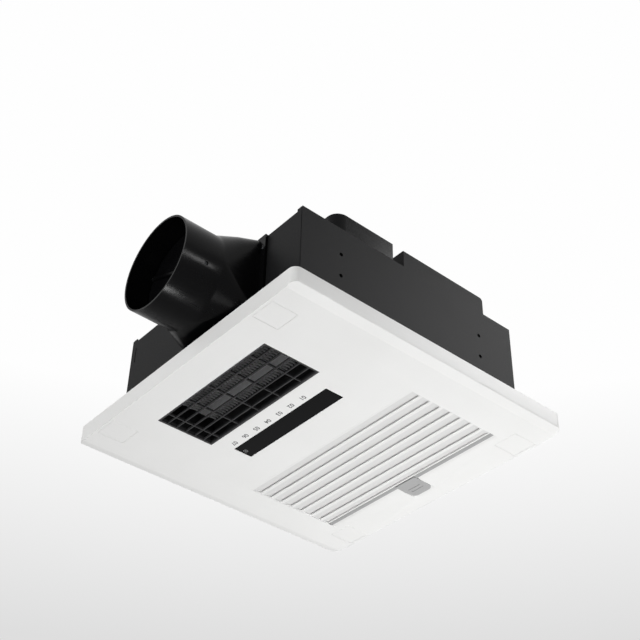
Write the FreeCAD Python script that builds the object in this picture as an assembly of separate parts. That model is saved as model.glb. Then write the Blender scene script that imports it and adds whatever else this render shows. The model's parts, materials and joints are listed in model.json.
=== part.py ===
import FreeCAD, Part
import os
from math import cos, sin, tan, pi, radians, sqrt

# Ceiling heater and ventilator: a white panel below the ceiling, a black steel
# housing above it, a duct adapter on one side. Millimetres. The origin is the
# panel's centre on the ceiling plane, +Z points up into the ceiling, the duct
# leaves towards -X and the air filter slides out towards +X.

V = FreeCAD.Vector
X_AXIS = V(1, 0, 0)
Y_AXIS = V(0, 1, 0)
Z_AXIS = V(0, 0, 1)

# General
overrun = 5.0
running_gap = 0.05
slide_gap = 0.3
body_gap = 0.4

# Layout of the face, from the duct side to the filter side
outlet_margin = 35.1
outlet_w = 65.0
outlet_gap = 21.2
window_w = 21.6
window_gap = 39.7
intake_len = 112.6
intake_margin = 44.8
outlet_len = 166.0
outlet_offset = 3.0
window_len = 141.0
intake_side = 19.1

# Ceiling panel
panel_depth = 19.0
panel_overlap = 30.0
panel_wall = 2.5
panel_corner_r = 8.0
bevel_run = 18.0
bevel_rise = 2.5
edge_round = 1.6
retainer_lip = 3.0
retainer_t = 1.6

# Warm air outlet
bezel_w = 2.2
bar_w = 1.1
bar_h = 2.6
bar_sunk = 0.4
long_bars = 5
cross_bars = 5
cross_first = 23.8
cross_last = 15.4
sleeve_wall = 1.6
sleeve_h = 22.9

# Swing vanes and their drive
vane_chord = 14.0
vane_t = 1.2
vane_tip_share = 0.4
vane_tilt_deg = 38.7
vane_lift = 15.0
vane_end_gap = 0.6
vane_pin_r = 1.5
crank_len = 5.0
crank_t = 2.0
crank_w = 4.4
crank_stand = 0.6
crank_pin_r = 1.0
crank_pin_len = 2.4
link_t = 1.6
link_w = 4.0
link_gap = 0.4
swing_motor_r = 10.0
swing_motor_len = 12.0
swing_ear_w = 7.0
swing_shaft_depth = 6.0

# Heater
heater_h = 18.0
heater_rail = 1.2
heater_end = 4.0
element_kinds = "fbffbf"
fin_pitch = 4.0
fin_t = 0.4
fin_tip_share = 0.3
cutout_r = 7.0
cutout_h = 9.0
lug_w = 2.4

# Display strip
board_t = 1.6
led_count = 7
led_side = 3.0
led_h = 1.0
receiver_r = 2.5
receiver_h = 5.0
receiver_dx = 6.0

# Air intake
slat_count = 8
first_band = 12.0
last_band = 4.0
slat_edge = 2.5
slat_rise = 2.8
slat_t = 1.5
slat_lap = 1.2
end_bar_w = 1.4
spine_t = 1.6
spine_h = 2.6
spine_shares = (-0.34, 0.34)

# Air filter
filter_slope_deg = 20.0
filter_t = 1.6
filter_side_gap = 0.5
filter_back_gap = 0.8
filter_bar = 6.5
filter_rib_w = 3.2
filter_rib_shares = (-0.33, 0.33)
net_t = 0.5
net_rows = 8
net_cols = 16
net_thread = 1.0
tab_y0 = -12.0
tab_y1 = 16.0
tab_len = 24.8
tab_t = 1.4
tab_r = 7.0
tab_gap = 0.5
grip_w = 1.0
grip_depth = 0.4
grip_shares = (0.42, 0.62)
grip_margin = 5.6
guide_wall = 2.0
guide_ledge = 3.0
guide_ledge_t = 1.2

# Corner covers and panel screws
cover_margin_x = 3.4
cover_margin_y = 33.2
cover_len_x = 28.3
cover_len_y = 27.6
cover_t = 1.5
cover_seam = 0.2
screw_out = 11.0
boss_r = 7.0
head_r = 3.9
head_top_share = 0.8
head_h = 2.4
head_room = 3.5
screw_r = 2.0
screw_hole_r = 2.2
screw_above = 14.0
screw_point = 4.0

# Steel housing
housing_h = 106.0
sheet = 1.0
side_lip = 3.0
corner_tab = 7.5
flange_out = 17.0
flange_t = 1.2
side_hole_r = 2.1
side_hole_dx = 184.0
side_hole_dz = 26.0
side_hole_z = 63.5
slit_w = 1.2
slit_h = 19.0
slit_z = 78.0
slit_in = 7.5
seam_w = 0.8
seam_depth = 0.5
top_sheet = 1.2
duct_hole_z0 = 32.0
duct_hole_z1 = 103.0
rivet_r = 2.4
rivet_h = 1.2
rivet_shares = (0.25, 0.75)

# Boxes on top of the housing
box_setback = 1.1
box_h = 25.0
box_wall = 2.0
wiring_margin = 42.0
wiring_len = 74.0
wiring_depth = 64.0
wiring_corner_r = 13.0
box_space = 14.0
control_len = 113.0
control_depth = 92.0
control_round = 4.0
pcb_lift = 4.0
pcb_t = 1.6
pcb_margin = 5.0
relay_h = 11.0
relay_count = 3
relay_share = 0.22
terminal_w = 46.0
terminal_d = 18.0
terminal_h = 12.0
terminal_ways = 5
terminal_bore_r = 2.4
gland_r = 8.0
gland_len = 14.0
gland_bore_r = 4.2
gland_nut_r = 10.5
gland_nut_len = 5.0

# Duct adapter
duct_r = 49.5
duct_wall = 1.9
duct_y = -33.6
duct_z = 57.4
duct_len = 42.0
adapter_len = 41.0
base_inset = 0.5
base_corner_r = 9.5
shoulder_r = 26.0
shoulder_share = 0.5
base_flange_w = 6.5
base_flange_t = 3.0
adapter_screw_inset = 3.2
adapter_screw_r = 1.6
adapter_screw_share = 0.67
adapter_head_r = 2.4
adapter_head_h = 1.4

# Back draught damper in the duct
damper_in = 16.5
damper_above = 3.0
damper_turn_deg = 22.5
damper_r = 46.0
damper_t = 1.6
damper_axle_r = 2.0
damper_hub_r = 3.4
damper_axle_half = 48.2

# Air guide above the heater, and its changeover flap
guide_to_fan = 88.0
guide_outlet_gap = 2.0
guide_flap_gap = 8.0
guide_far_gap = 8.0
guide_t = 1.6
flap_t = 1.6
flap_wall_gap = 4.0
flap_axle_r = 2.0
flap_hub_r = 3.4
flap_lap = 0.4
flap_axle_lift = 6.0
flap_top_gap = 3.0
flap_ear_t = 3.0
flap_ear_w = 12.0
flap_motor_r = 14.0
flap_motor_len = 14.0
flap_shaft_depth = 8.0

# Fan, motor and scroll
fan_wall = 82.0
fan_r = 54.0
blade_inner_r = 44.5
blade_count = 32
blade_t = 0.9
blade_lean_deg = 9.0
blade_bow_share = 0.16
wheel_clear = 6.0
wheel_top_gap = 8.8
ring_t = 2.0
ring_w = 6.0
cup_r = 36.0
cup_depth = 32.0
cup_wall = 1.8
hub_r = 9.0
hub_drop = 8.0
shaft_r = 4.0
shaft_nose = 3.0
shaft_in = 16.0
motor_r = 30.0
motor_gap = 6.0
motor_round = 4.0
bracket_r = 46.0
bracket_t = 1.5
bracket_arm_w = 16.0
bracket_arms = 3
bracket_turn_deg = 30.0
motor_screw_r = 2.0
motor_screw_h = 3.0
scroll_z0 = 40.0
scroll_wall = 2.0
scroll_r0 = 59.0
scroll_r1 = 84.0
scroll_start_deg = 150.0
scroll_sweep_deg = 300.0
scroll_points = 13
scroll_join_deg = 185.0
mouth_y0 = -12.0
mouth_frame = 2.0
inlet_r = 42.0
inlet_hole_r = 50.0
inlet_lip = 3.0
inlet_flange_r = 55.0
inlet_flange_t = 1.6
inlet_round = 6.0

# Places worked out from the sizes above
face_z = -panel_depth
floor_z = face_z + panel_wall
panel_side = (outlet_margin + outlet_w + outlet_gap + window_w + window_gap + intake_len
              + intake_margin)
panel_half = panel_side / 2
housing_side = panel_side - 2 * panel_overlap
housing_half = housing_side / 2
outlet_x0 = -panel_half + outlet_margin
outlet_x1 = outlet_x0 + outlet_w
outlet_y0 = -outlet_len / 2 - outlet_offset
outlet_y1 = outlet_len / 2 - outlet_offset
window_x0 = outlet_x1 + outlet_gap
window_x1 = window_x0 + window_w
window_half_y = window_len / 2
intake_x0 = window_x1 + window_gap
intake_x1 = intake_x0 + intake_len
intake_half_y = housing_half - intake_side
slat_pitch = (intake_len - first_band - last_band) / (slat_count - 1)
filter_half_y = intake_half_y - filter_side_gap
filter_len = (intake_len - filter_back_gap) / cos(radians(filter_slope_deg))
cover_x1 = panel_half - cover_margin_x
cover_x0 = cover_x1 - cover_len_x
cover_y1 = panel_half - cover_margin_y
cover_y0 = cover_y1 - cover_len_y
screw_x = housing_half + screw_out
screw_y = (cover_y0 + cover_y1) / 2
housing_in = housing_half - sheet
top_under_z = housing_h - top_sheet
sleeve_z0 = floor_z + retainer_t
sleeve_z1 = sleeve_z0 + sleeve_h
heater_z1 = sleeve_z1 + heater_h
guide_floor_z = heater_z1 + guide_t
vane_z = face_z + vane_lift
cross_pitch = (outlet_len - cross_first - cross_last) / (cross_bars - 1)
vane_pitch = (outlet_x1 - outlet_x0) / (long_bars + 1)
vane_xs = [outlet_x0 + vane_pitch * (i + 1) for i in range(long_bars)]
crank_y = outlet_y1 + sleeve_wall + crank_stand
link_y = crank_y + crank_t + link_gap
base_x = -housing_half - base_flange_t
base_side = 2 * (duct_r - base_inset)
duct_neck_x = base_x - adapter_len
duct_mouth_x = duct_neck_x - duct_len
damper_x = duct_neck_x - damper_in
wall_hole_half = base_side / 2 - base_flange_t
slit_y = housing_half - slit_in
wiring_x0 = -housing_half + wiring_margin
wiring_x1 = wiring_x0 + wiring_len
control_x0 = wiring_x1 + box_space
control_x1 = control_x0 + control_len
fan_x = housing_half - fan_wall
guide_x1 = fan_x - guide_to_fan
flap_y0 = duct_y - wall_hole_half - flap_lap
flap_y1 = duct_y + wall_hole_half + flap_lap
guide_y0 = min(outlet_y0 - guide_outlet_gap, flap_y0 - guide_flap_gap)
guide_y1 = outlet_y1 + guide_far_gap
wheel_z0 = scroll_z0 + wheel_clear
wheel_z1 = top_under_z - wheel_top_gap
cup_floor_z = wheel_z1 - cup_depth
hub_z0 = cup_floor_z - hub_drop
shaft_z0 = hub_z0 - shaft_nose
motor_z0 = cup_floor_z + motor_gap
shaft_z1 = motor_z0 + shaft_in
flap_x = -housing_in + flap_wall_gap
flap_axle_z = guide_floor_z + flap_axle_lift
filter_x = intake_x1 - slide_gap
damper_z = duct_z + damper_above


def block(x0, x1, y0, y1, z0, z1):
    return Part.makeBox(x1 - x0, y1 - y0, z1 - z0, V(x0, y0, z0))


def rounded_block(x0, x1, y0, y1, z0, z1, radius):
    """A block whose upright edges are rounded."""
    shape = block(x0, x1, y0, y1, z0, z1)
    upright = [e for e in shape.Edges if abs(e.tangentAt(e.FirstParameter).z) > 0.5]
    return shape.makeFillet(radius, upright)


def ring(x0, x1, y0, y1, z0, z1, width):
    """A rectangular frame of the given bar width."""
    inside = block(x0 + width, x1 - width, y0 + width, y1 - width, z0 - overrun, z1 + overrun)
    return block(x0, x1, y0, y1, z0, z1).cut(inside)


def rod(radius, length, start, direction):
    return Part.makeCylinder(radius, length, start, direction)


def prism_xz(points, y0, y1):
    """An outline in the XZ plane, drawn out along Y."""
    corners = [V(x, y0, z) for x, z in points]
    return Part.Face(Part.makePolygon(corners + corners[:1])).extrude(V(0, y1 - y0, 0))


def prism_yz(points, x0, x1):
    """An outline in the YZ plane, drawn out along X."""
    corners = [V(x0, y, z) for y, z in points]
    return Part.Face(Part.makePolygon(corners + corners[:1])).extrude(V(x1 - x0, 0, 0))


def turned(points, centre):
    """An outline of radius and height, revolved about a vertical axis."""
    corners = [V(r, 0, z) for r, z in points]
    shape = Part.Face(Part.makePolygon(corners + corners[:1])).revolve(V(0, 0, 0), Z_AXIS, 360)
    shape.translate(centre)
    return shape


def fused(shapes):
    return shapes[0].multiFuse(shapes[1:]).removeSplitter()


def grouped(shapes):
    return Part.makeCompound(shapes)


def save(shape, name):
    shape.exportStep("parts/" + name + ".step")


def filter_place(shape):
    """Moves a shape drawn flat, front edge at x 0, into the sloping filter track."""
    shape.rotate(V(0, 0, 0), Y_AXIS, filter_slope_deg)
    shape.translate(V(filter_x, 0, face_z))
    return shape


def filter_slab(low, high, half_y, front, back):
    """A flat slab along the filter's track, between two heights over its underside."""
    return filter_place(block(-back, front, -half_y, half_y, low, high))


def panel_form(half, bottom, top, edge):
    """The panel's dished form: bevelled along its two Y edges, round corners, edge rounding."""
    flat = panel_half - bevel_run
    rise = bevel_rise * (half - flat) / bevel_run
    outline = [(-half, top), (-half, bottom + rise), (-flat, bottom), (flat, bottom)]
    outline += [(half, bottom + rise), (half, top)]
    corner = panel_corner_r - (panel_half - half)
    form = prism_yz(outline, -half, half)
    plan = rounded_block(-half, half, -half, half, bottom, top + overrun, corner)
    if edge:
        rim_z = bottom + rise
        near = [e for e in form.Edges if abs(e.BoundBox.ZMin - rim_z) < edge / 2]
        rims = [e for e in near if max(e.BoundBox.ZLength, e.BoundBox.YLength) < edge / 2]
        form = form.makeFillet(edge, rims)
        plan = plan.makeFillet(edge, [e for e in plan.Edges if e.BoundBox.ZMax < bottom + edge])
    return form.common(plan)


def tab_outline(grow):
    """The pull tab's plan, square at the root and round at the tip."""
    x0 = filter_x - filter_bar / 2
    x1 = filter_x + tab_len + grow
    return x0, x1, tab_y0 - grow, tab_y1 + grow, tab_r + grow


def tab_prism(grow, z0, z1):
    x0, x1, y0, y1, radius = tab_outline(grow)
    shape = block(x0, x1, y0, y1, z0, z1)
    tips = [e for e in shape.Edges
            if abs(e.tangentAt(e.FirstParameter).z) > 0.5 and e.Vertexes[0].X > (x0 + x1) / 2]
    return shape.makeFillet(radius, tips)


def corner_places(x, y):
    return [(sx * x, sy * y) for sx in (-1, 1) for sy in (-1, 1)]


def make_panel():
    panel = panel_form(panel_half, face_z, 0, edge_round)
    panel = panel.cut(panel_form(panel_half - panel_wall, floor_z, overrun, 0))
    bosses = [rod(boss_r, -flange_t - floor_z, V(x, y, floor_z), Z_AXIS)
              for x, y in corner_places(screw_x, screw_y)]
    panel = fused([panel] + bosses)
    cuts = [block(outlet_x0, outlet_x1, outlet_y0, outlet_y1, face_z - overrun, floor_z + overrun),
            block(window_x0, window_x1, -window_half_y, window_half_y,
                  face_z - overrun, floor_z + overrun),
            block(intake_x0, intake_x1, -intake_half_y, intake_half_y,
                  face_z - overrun, floor_z + overrun)]
    recess_z = face_z + cover_t
    for x, y in corner_places(1, 1):
        xs = sorted((x * (cover_x0 - cover_seam), x * (cover_x1 + cover_seam)))
        ys = sorted((y * (cover_y0 - cover_seam), y * (cover_y1 + cover_seam)))
        cuts.append(block(xs[0], xs[1], ys[0], ys[1], face_z - overrun, recess_z))
    for x, y in corner_places(screw_x, screw_y):
        cuts.append(rod(head_r + slide_gap, head_room, V(x, y, recess_z), Z_AXIS))
        cuts.append(rod(screw_hole_r, panel_depth, V(x, y, recess_z), Z_AXIS))
    cuts.append(filter_slab(-overrun, filter_t + slide_gap, intake_half_y, filter_len, filter_t))
    pocket_z = face_z + tab_t + slide_gap
    cuts.append(tab_prism(tab_gap, face_z - overrun, pocket_z))
    slope = radians(filter_slope_deg)
    ceiling = [f for f in tab_prism(tab_gap, face_z, pocket_z).Faces
               if f.CenterOfMass.z > pocket_z - tab_gap / 2 and abs(f.normalAt(0, 0).z) > 0.9][0]
    run = 2 * panel_wall / sin(slope)
    cuts.append(ceiling.extrude(V(run * cos(slope), 0, -run * sin(slope))))
    for cut in cuts:
        panel = panel.cut(cut)
    save(panel, "front_panel")


def make_corner_covers():
    covers = []
    for x, y in corner_places(1, 1):
        xs = sorted((x * cover_x0, x * cover_x1))
        ys = sorted((y * cover_y0, y * cover_y1))
        covers.append(block(xs[0], xs[1], ys[0], ys[1], face_z, face_z + cover_t))
    save(grouped(covers), "corner_covers")


def make_panel_screws():
    seat_z = face_z + cover_t + head_room
    screws = []
    for x, y in corner_places(screw_x, screw_y):
        screws.append(turned([(0, seat_z - head_h), (head_r * head_top_share, seat_z - head_h),
                              (head_r, seat_z - head_h / 2), (head_r, seat_z), (screw_r, seat_z),
                              (screw_r, screw_above - screw_point), (0, screw_above)], V(x, y, 0)))
    save(grouped(screws), "panel_screws")


def make_outlet_guard():
    x0, x1 = outlet_x0, outlet_x1
    y0, y1 = outlet_y0, outlet_y1
    pieces = [ring(x0, x1, y0, y1, face_z, floor_z, bezel_w),
              ring(x0 - retainer_lip, x1 + retainer_lip, y0 - retainer_lip, y1 + retainer_lip,
                   floor_z, sleeve_z0, bezel_w + retainer_lip)]
    bar_z = face_z + bar_sunk
    for x in vane_xs:
        pieces.append(block(x - bar_w / 2, x + bar_w / 2, y0 + bezel_w / 2, y1 - bezel_w / 2,
                            bar_z, bar_z + bar_h))
    for i in range(cross_bars):
        y = y0 + cross_first + cross_pitch * i
        pieces.append(block(x0 + bezel_w / 2, x1 - bezel_w / 2, y - bar_w / 2, y + bar_w / 2,
                            bar_z, bar_z + bar_h))
    save(fused(pieces), "outlet_guard")


def make_outlet_sleeve():
    w = sleeve_wall
    sleeve = ring(outlet_x0 - w, outlet_x1 + w, outlet_y0 - w, outlet_y1 + w, sleeve_z0, sleeve_z1, w)
    for x in vane_xs:
        span = outlet_y1 - outlet_y0 + 2 * overrun
        sleeve = sleeve.cut(rod(vane_pin_r + running_gap, span, V(x, outlet_y0 - overrun, vane_z), Y_AXIS))
    save(sleeve, "outlet_sleeve")


def make_vane(index):
    """A swing vane with its two pivot pins and the crank at its +Y end."""
    half, tip = vane_chord / 2, vane_t * vane_tip_share / 2
    y0, y1 = outlet_y0 + vane_end_gap, outlet_y1 - vane_end_gap
    t = vane_t / 2
    blade = prism_xz([(-tip, -half), (tip, -half), (t, 0), (tip, half), (-tip, half), (-t, 0)], y0, y1)
    blade.rotate(V(0, 0, 0), Y_AXIS, vane_tilt_deg)
    boss_len = 2 * vane_end_gap
    pieces = [blade, rod(vane_pin_r, boss_len + sleeve_wall + crank_stand + crank_t,
                         V(0, y1 - vane_end_gap, 0), Y_AXIS)]
    tail = sleeve_wall + 2 * vane_end_gap
    if index == 0:
        tail = tail + swing_shaft_depth - slide_gap
    pieces.append(rod(vane_pin_r, tail, V(0, y0 + vane_end_gap, 0), V(0, -1, 0)))
    pieces.append(block(-crank_w / 2, crank_w / 2, crank_y, crank_y + crank_t, 0, crank_len))
    pieces.append(rod(crank_w / 2, crank_t, V(0, crank_y, 0), Y_AXIS))
    pieces.append(rod(crank_w / 2, crank_t, V(0, crank_y, crank_len), Y_AXIS))
    pieces.append(rod(crank_pin_r, crank_t + crank_pin_len, V(0, crank_y, crank_len), Y_AXIS))
    vane = fused(pieces)
    vane.translate(V(vane_xs[index], 0, vane_z))
    save(vane, "swing_vane_%d" % (index + 1))


def make_vane_link():
    z = vane_z + crank_len
    x0, x1 = vane_xs[0], vane_xs[-1]
    pieces = [block(x0, x1, link_y, link_y + link_t, z - link_w / 2, z + link_w / 2)]
    for x in (x0, x1):
        pieces.append(rod(link_w / 2, link_t, V(x, link_y, z), Y_AXIS))
    link = fused(pieces)
    for i, x in enumerate(vane_xs):
        gap = running_gap if i == 0 else slide_gap
        link = link.cut(rod(crank_pin_r + gap, link_t + 2 * overrun, V(x, link_y - overrun, z), Y_AXIS))
    save(link, "vane_link")


def make_swing_motor():
    y = outlet_y0 - sleeve_wall
    start = V(vane_xs[0], y, vane_z)
    motor = rod(swing_motor_r, swing_motor_len, start, V(0, -1, 0))
    ear_w, ear_t = swing_ear_w, sleeve_wall
    ear = block(vane_xs[0] - ear_w / 2, vane_xs[0] + ear_w / 2, y - ear_t, y,
                vane_z, vane_z + swing_motor_r + ear_w)
    motor = fused([motor, ear])
    save(motor.cut(rod(vane_pin_r + running_gap, swing_shaft_depth + slide_gap, start, V(0, -1, 0))),
         "swing_motor")


def heater_spaces():
    """The X places where one heater element ends and the next begins."""
    x0, x1 = outlet_x0 + heater_rail, outlet_x1 - heater_rail
    count = len(element_kinds)
    return [x0 + (x1 - x0) * i / count for i in range(count + 1)]


def make_heater():
    xs = heater_spaces()
    y0, y1 = outlet_y0 + heater_end, outlet_y1 - heater_end
    z0, z1 = sleeve_z1, heater_z1
    w = sleeve_wall
    frame = block(outlet_x0 - w, outlet_x1 + w, outlet_y0 - w, outlet_y1 + w, z0, z1)
    frame = frame.cut(block(xs[0], xs[-1], y0, y1, z0 - overrun, z1 + overrun))
    save(frame, "heater_frame")
    bars = [block(xs[i], xs[i + 1], y0, y1, z0, z1) for i, kind in enumerate(element_kinds) if kind == "b"]
    save(grouped(bars), "heater_bars")
    fins = [fin_strip(xs[i], xs[i + 1], y0, y1, z0, z1)
            for i, kind in enumerate(element_kinds) if kind == "f"]
    save(grouped(fins), "heater_fins")
    cutout_y = outlet_y1 + w
    cutout_x = (outlet_x0 + outlet_x1) / 2
    cutout = rod(cutout_r, cutout_h, V(cutout_x, cutout_y, (z0 + z1) / 2), Y_AXIS)
    lugs = [block(cutout_x + side * cutout_r / 2 - lug_w / 2, cutout_x + side * cutout_r / 2 + lug_w / 2,
                  cutout_y + cutout_h - fin_t, cutout_y + cutout_h + cutout_r / 2,
                  (z0 + z1) / 2 - fin_t, (z0 + z1) / 2 + fin_t) for side in (-1, 1)]
    save(fused([cutout] + lugs), "thermal_cutout")


def fin_strip(x0, x1, y0, y1, z0, z1):
    """One folded aluminium fin: a zigzag between two elements, drawn out along Z."""
    waves = int((y1 - y0) / fin_pitch)
    pitch = (y1 - y0) / waves
    tip = pitch * fin_tip_share / 2
    left, right = [], []
    for i in range(waves):
        base = y0 + pitch * i
        left += [V(x0, base, z0), V(x0, base + tip, z0)]
        mid = base + pitch / 2
        left += [V(x1 - fin_t, mid - tip / 2, z0), V(x1 - fin_t, mid + tip / 2, z0)]
        right += [V(x0 + fin_t, base, z0), V(x0 + fin_t, base + tip - fin_t / 2, z0)]
        half_tip = (tip + fin_t) / 2
        right += [V(x1, mid - half_tip, z0), V(x1, mid + half_tip, z0)]
    left.append(V(x0, y1, z0))
    right.append(V(x0 + fin_t, y1, z0))
    outline = left + right[::-1]
    return Part.Face(Part.makePolygon(outline + outline[:1])).extrude(V(0, 0, z1 - z0))


def make_display():
    x0, x1, half = window_x0, window_x1, window_half_y
    lip = retainer_lip
    window = fused([block(x0, x1, -half, half, face_z, floor_z),
                    block(x0 - lip, x1 + lip, -half - lip, half + lip, floor_z, floor_z + retainer_t)])
    save(window, "display_window")
    z = floor_z + retainer_t
    pieces = [block(x0 - lip, x1 + lip, -half - lip, half + lip, z, z + board_t)]
    mid = (x0 + x1) / 2
    for i in range(led_count):
        y = half * (2 * (i + 0.5) / led_count - 1)
        pieces.append(block(mid - led_side / 2, mid + led_side / 2, y - led_side / 2, y + led_side / 2,
                            z + board_t, z + board_t + led_h))
    pieces.append(rod(receiver_r, receiver_h, V(mid + receiver_dx, half - receiver_r, z + board_t), Z_AXIS))
    save(fused(pieces), "display_board")


def make_intake_louvre():
    z0 = face_z
    pieces = []
    edge_x = intake_x0 + first_band
    last_x = edge_x + slat_pitch * (slat_count - 1)
    for i in range(slat_count):
        start = intake_x0 if i == 0 else edge_x + slat_pitch * (i - 1)
        flat = slat_edge if i else slat_edge / 2
        end = edge_x + slat_pitch * i
        end += slat_lap if i < slat_count - 1 else -slat_lap
        outline = [(start, z0), (start + flat, z0), (end, z0 + slat_rise)]
        outline += [(end, z0 + slat_rise + slat_t), (start + flat / 2, z0 + slat_t + slat_edge / 4)]
        outline += [(start, z0 + slat_t)]
        pieces.append(prism_xz(outline, -intake_half_y, intake_half_y))
    bar_x0 = filter_x - filter_bar
    pieces.append(block(bar_x0, bar_x0 + end_bar_w, -intake_half_y, intake_half_y, z0, z0 + slat_rise))
    spine_z = z0 + slat_rise
    for share in spine_shares:
        y = 2 * intake_half_y * share
        pieces.append(block(intake_x0, last_x, y - spine_t / 2, y + spine_t / 2, spine_z, spine_z + spine_h))
    for side in (-1, 1):
        ys = sorted((side * intake_half_y, side * (intake_half_y - spine_t)))
        pieces.append(block(intake_x0, bar_x0 + end_bar_w, ys[0], ys[1], z0 + slat_t / 4, spine_z + spine_h))
    louvre = fused(pieces)
    track = filter_slab(-slide_gap, 2 * filter_len, intake_half_y + overrun, filter_len, 2 * filter_len)
    louvre = louvre.cut(track)
    keep = max(louvre.Solids, key=lambda s: s.Volume)
    save(keep, "intake_louvre")


def make_filter():
    inner_y = filter_half_y - filter_bar
    inner_0, inner_1 = -filter_len + filter_bar, -filter_bar
    frame = block(-filter_len, 0, -filter_half_y, filter_half_y, 0, filter_t)
    frame = frame.cut(block(inner_0, inner_1, -inner_y, inner_y, -overrun, filter_t + overrun))
    net_z = (filter_t - net_t) / 2
    ribs = [block(inner_0, inner_1, inner_y * share - filter_rib_w / 2, inner_y * share + filter_rib_w / 2,
                  0, net_z) for share in filter_rib_shares]
    frame = filter_place(fused([frame] + ribs))
    tab = tab_prism(0, face_z, face_z + tab_t)
    tab = tab.cut(filter_slab(filter_t, filter_len, filter_half_y, 0, filter_len))
    for share in grip_shares:
        x = filter_x + tab_len * share
        tab = tab.cut(block(x - grip_w / 2, x + grip_w / 2, tab_y0 + grip_margin, tab_y1 - grip_margin,
                            face_z - overrun, face_z + grip_depth))
    frame = fused([frame, tab])
    save(frame, "filter_frame")
    net = block(inner_0, inner_1, -inner_y, inner_y, net_z, net_z + net_t)
    step_x, step_y = (inner_1 - inner_0) / net_rows, 2 * inner_y / net_cols
    gaps = [block(inner_0 + step_x * i + net_thread / 2, inner_0 + step_x * (i + 1) - net_thread / 2,
                  -inner_y + step_y * j + net_thread / 2, -inner_y + step_y * (j + 1) - net_thread / 2,
                  net_z - overrun, net_z + overrun) for i in range(net_rows) for j in range(net_cols)]
    save(filter_place(net.cut(gaps)), "filter_net")


def make_filter_guide():
    """Two sloping runners for the filter, on side plates that stand in the panel."""
    slope = radians(filter_slope_deg)
    back_x = intake_x0 - guide_wall
    inner, outer = intake_half_y, intake_half_y + guide_wall
    height = (filter_x - back_x) * tan(slope) + filter_t + guide_ledge
    front_x = filter_x - guide_ledge
    low = (filter_x - front_x) * tan(slope) + filter_t + guide_ledge
    side = [(back_x - guide_wall, floor_z), (front_x, floor_z), (front_x, face_z + low),
            (back_x - guide_wall, face_z + height)]
    pieces = [prism_xz(side, inner, outer), prism_xz(side, -outer, -inner)]
    pieces.append(block(back_x - guide_wall, back_x, -outer, outer, floor_z, face_z + height))
    clear = slat_rise + slat_t + spine_h
    start = (clear + guide_ledge_t) / sin(slope)
    for side_y in (-1, 1):
        ys = sorted((side_y * inner, side_y * (inner - guide_ledge)))
        for n in (-slide_gap - guide_ledge_t, filter_t + slide_gap):
            ledge = block(-filter_len, -start, ys[0], ys[1], n, n + guide_ledge_t)
            pieces.append(filter_place(ledge))
    save(fused(pieces), "filter_guide")


def make_housing():
    half, inner = housing_half, housing_in
    top = housing_h + side_lip
    shell = block(-half, half, -half, half, 0, top)
    rim_half = half + flange_out
    shell = fused([shell, block(-rim_half, rim_half, -rim_half, rim_half, -flange_t, 0)])
    shell = shell.cut(block(-inner, inner, -inner, inner, -overrun, top + overrun))
    tab_half = half - corner_tab
    cuts = [block(-half - overrun, half + overrun, -tab_half, tab_half, housing_h, top + overrun),
            block(-half - overrun, -inner + overrun, duct_y - wall_hole_half, duct_y + wall_hole_half,
                  duct_hole_z0, duct_hole_z1),
            block(-half - overrun, -inner + overrun, slit_y - slit_w / 2, slit_y + slit_w / 2,
                  slit_z, slit_z + slit_h)]
    for x, y in corner_places(1, 1):
        xs = sorted((x * half, x * (half - seam_depth)))
        ys = sorted((y * (half - sheet / 2), y * (half - sheet / 2 - seam_w)))
        cuts.append(block(xs[0], xs[1], ys[0], ys[1], 0, top + overrun))
    for x in (-side_hole_dx / 2, side_hole_dx / 2):
        for z in (side_hole_z - side_hole_dz / 2, side_hole_z + side_hole_dz / 2):
            cuts.append(rod(side_hole_r, 2 * half + 2 * overrun, V(x, -half - overrun, z), Y_AXIS))
    for x, y in corner_places(screw_x, screw_y):
        cuts.append(rod(screw_hole_r, 2 * overrun, V(x, y, -overrun), Z_AXIS))
    for cut in cuts:
        shell = shell.cut(cut)
    save(shell, "housing_shell")
    save(block(-inner, inner, -inner, inner, top_under_z, housing_h), "top_plate")
    rivets = []
    for share in rivet_shares:
        place = -half + housing_side * share
        for side in (-1, 1):
            rivets.append(dome(V(side * half, place, housing_h - 2 * rivet_r - side_lip), V(side, 0, 0)))
    wall = [r for r in rivets if r.BoundBox.XMax > 0 or r.BoundBox.YMin > duct_y + base_side]
    save(grouped(wall), "wall_rivets")


def dome(place, outward):
    """A low rivet head standing on a wall."""
    ball_r = (rivet_r * rivet_r + rivet_h * rivet_h) / (2 * rivet_h)
    centre = place + outward * (rivet_h - ball_r)
    ball = Part.makeSphere(ball_r, centre)
    return ball.common(Part.makeCylinder(rivet_r * 2, rivet_h * 2, place, outward))


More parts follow.
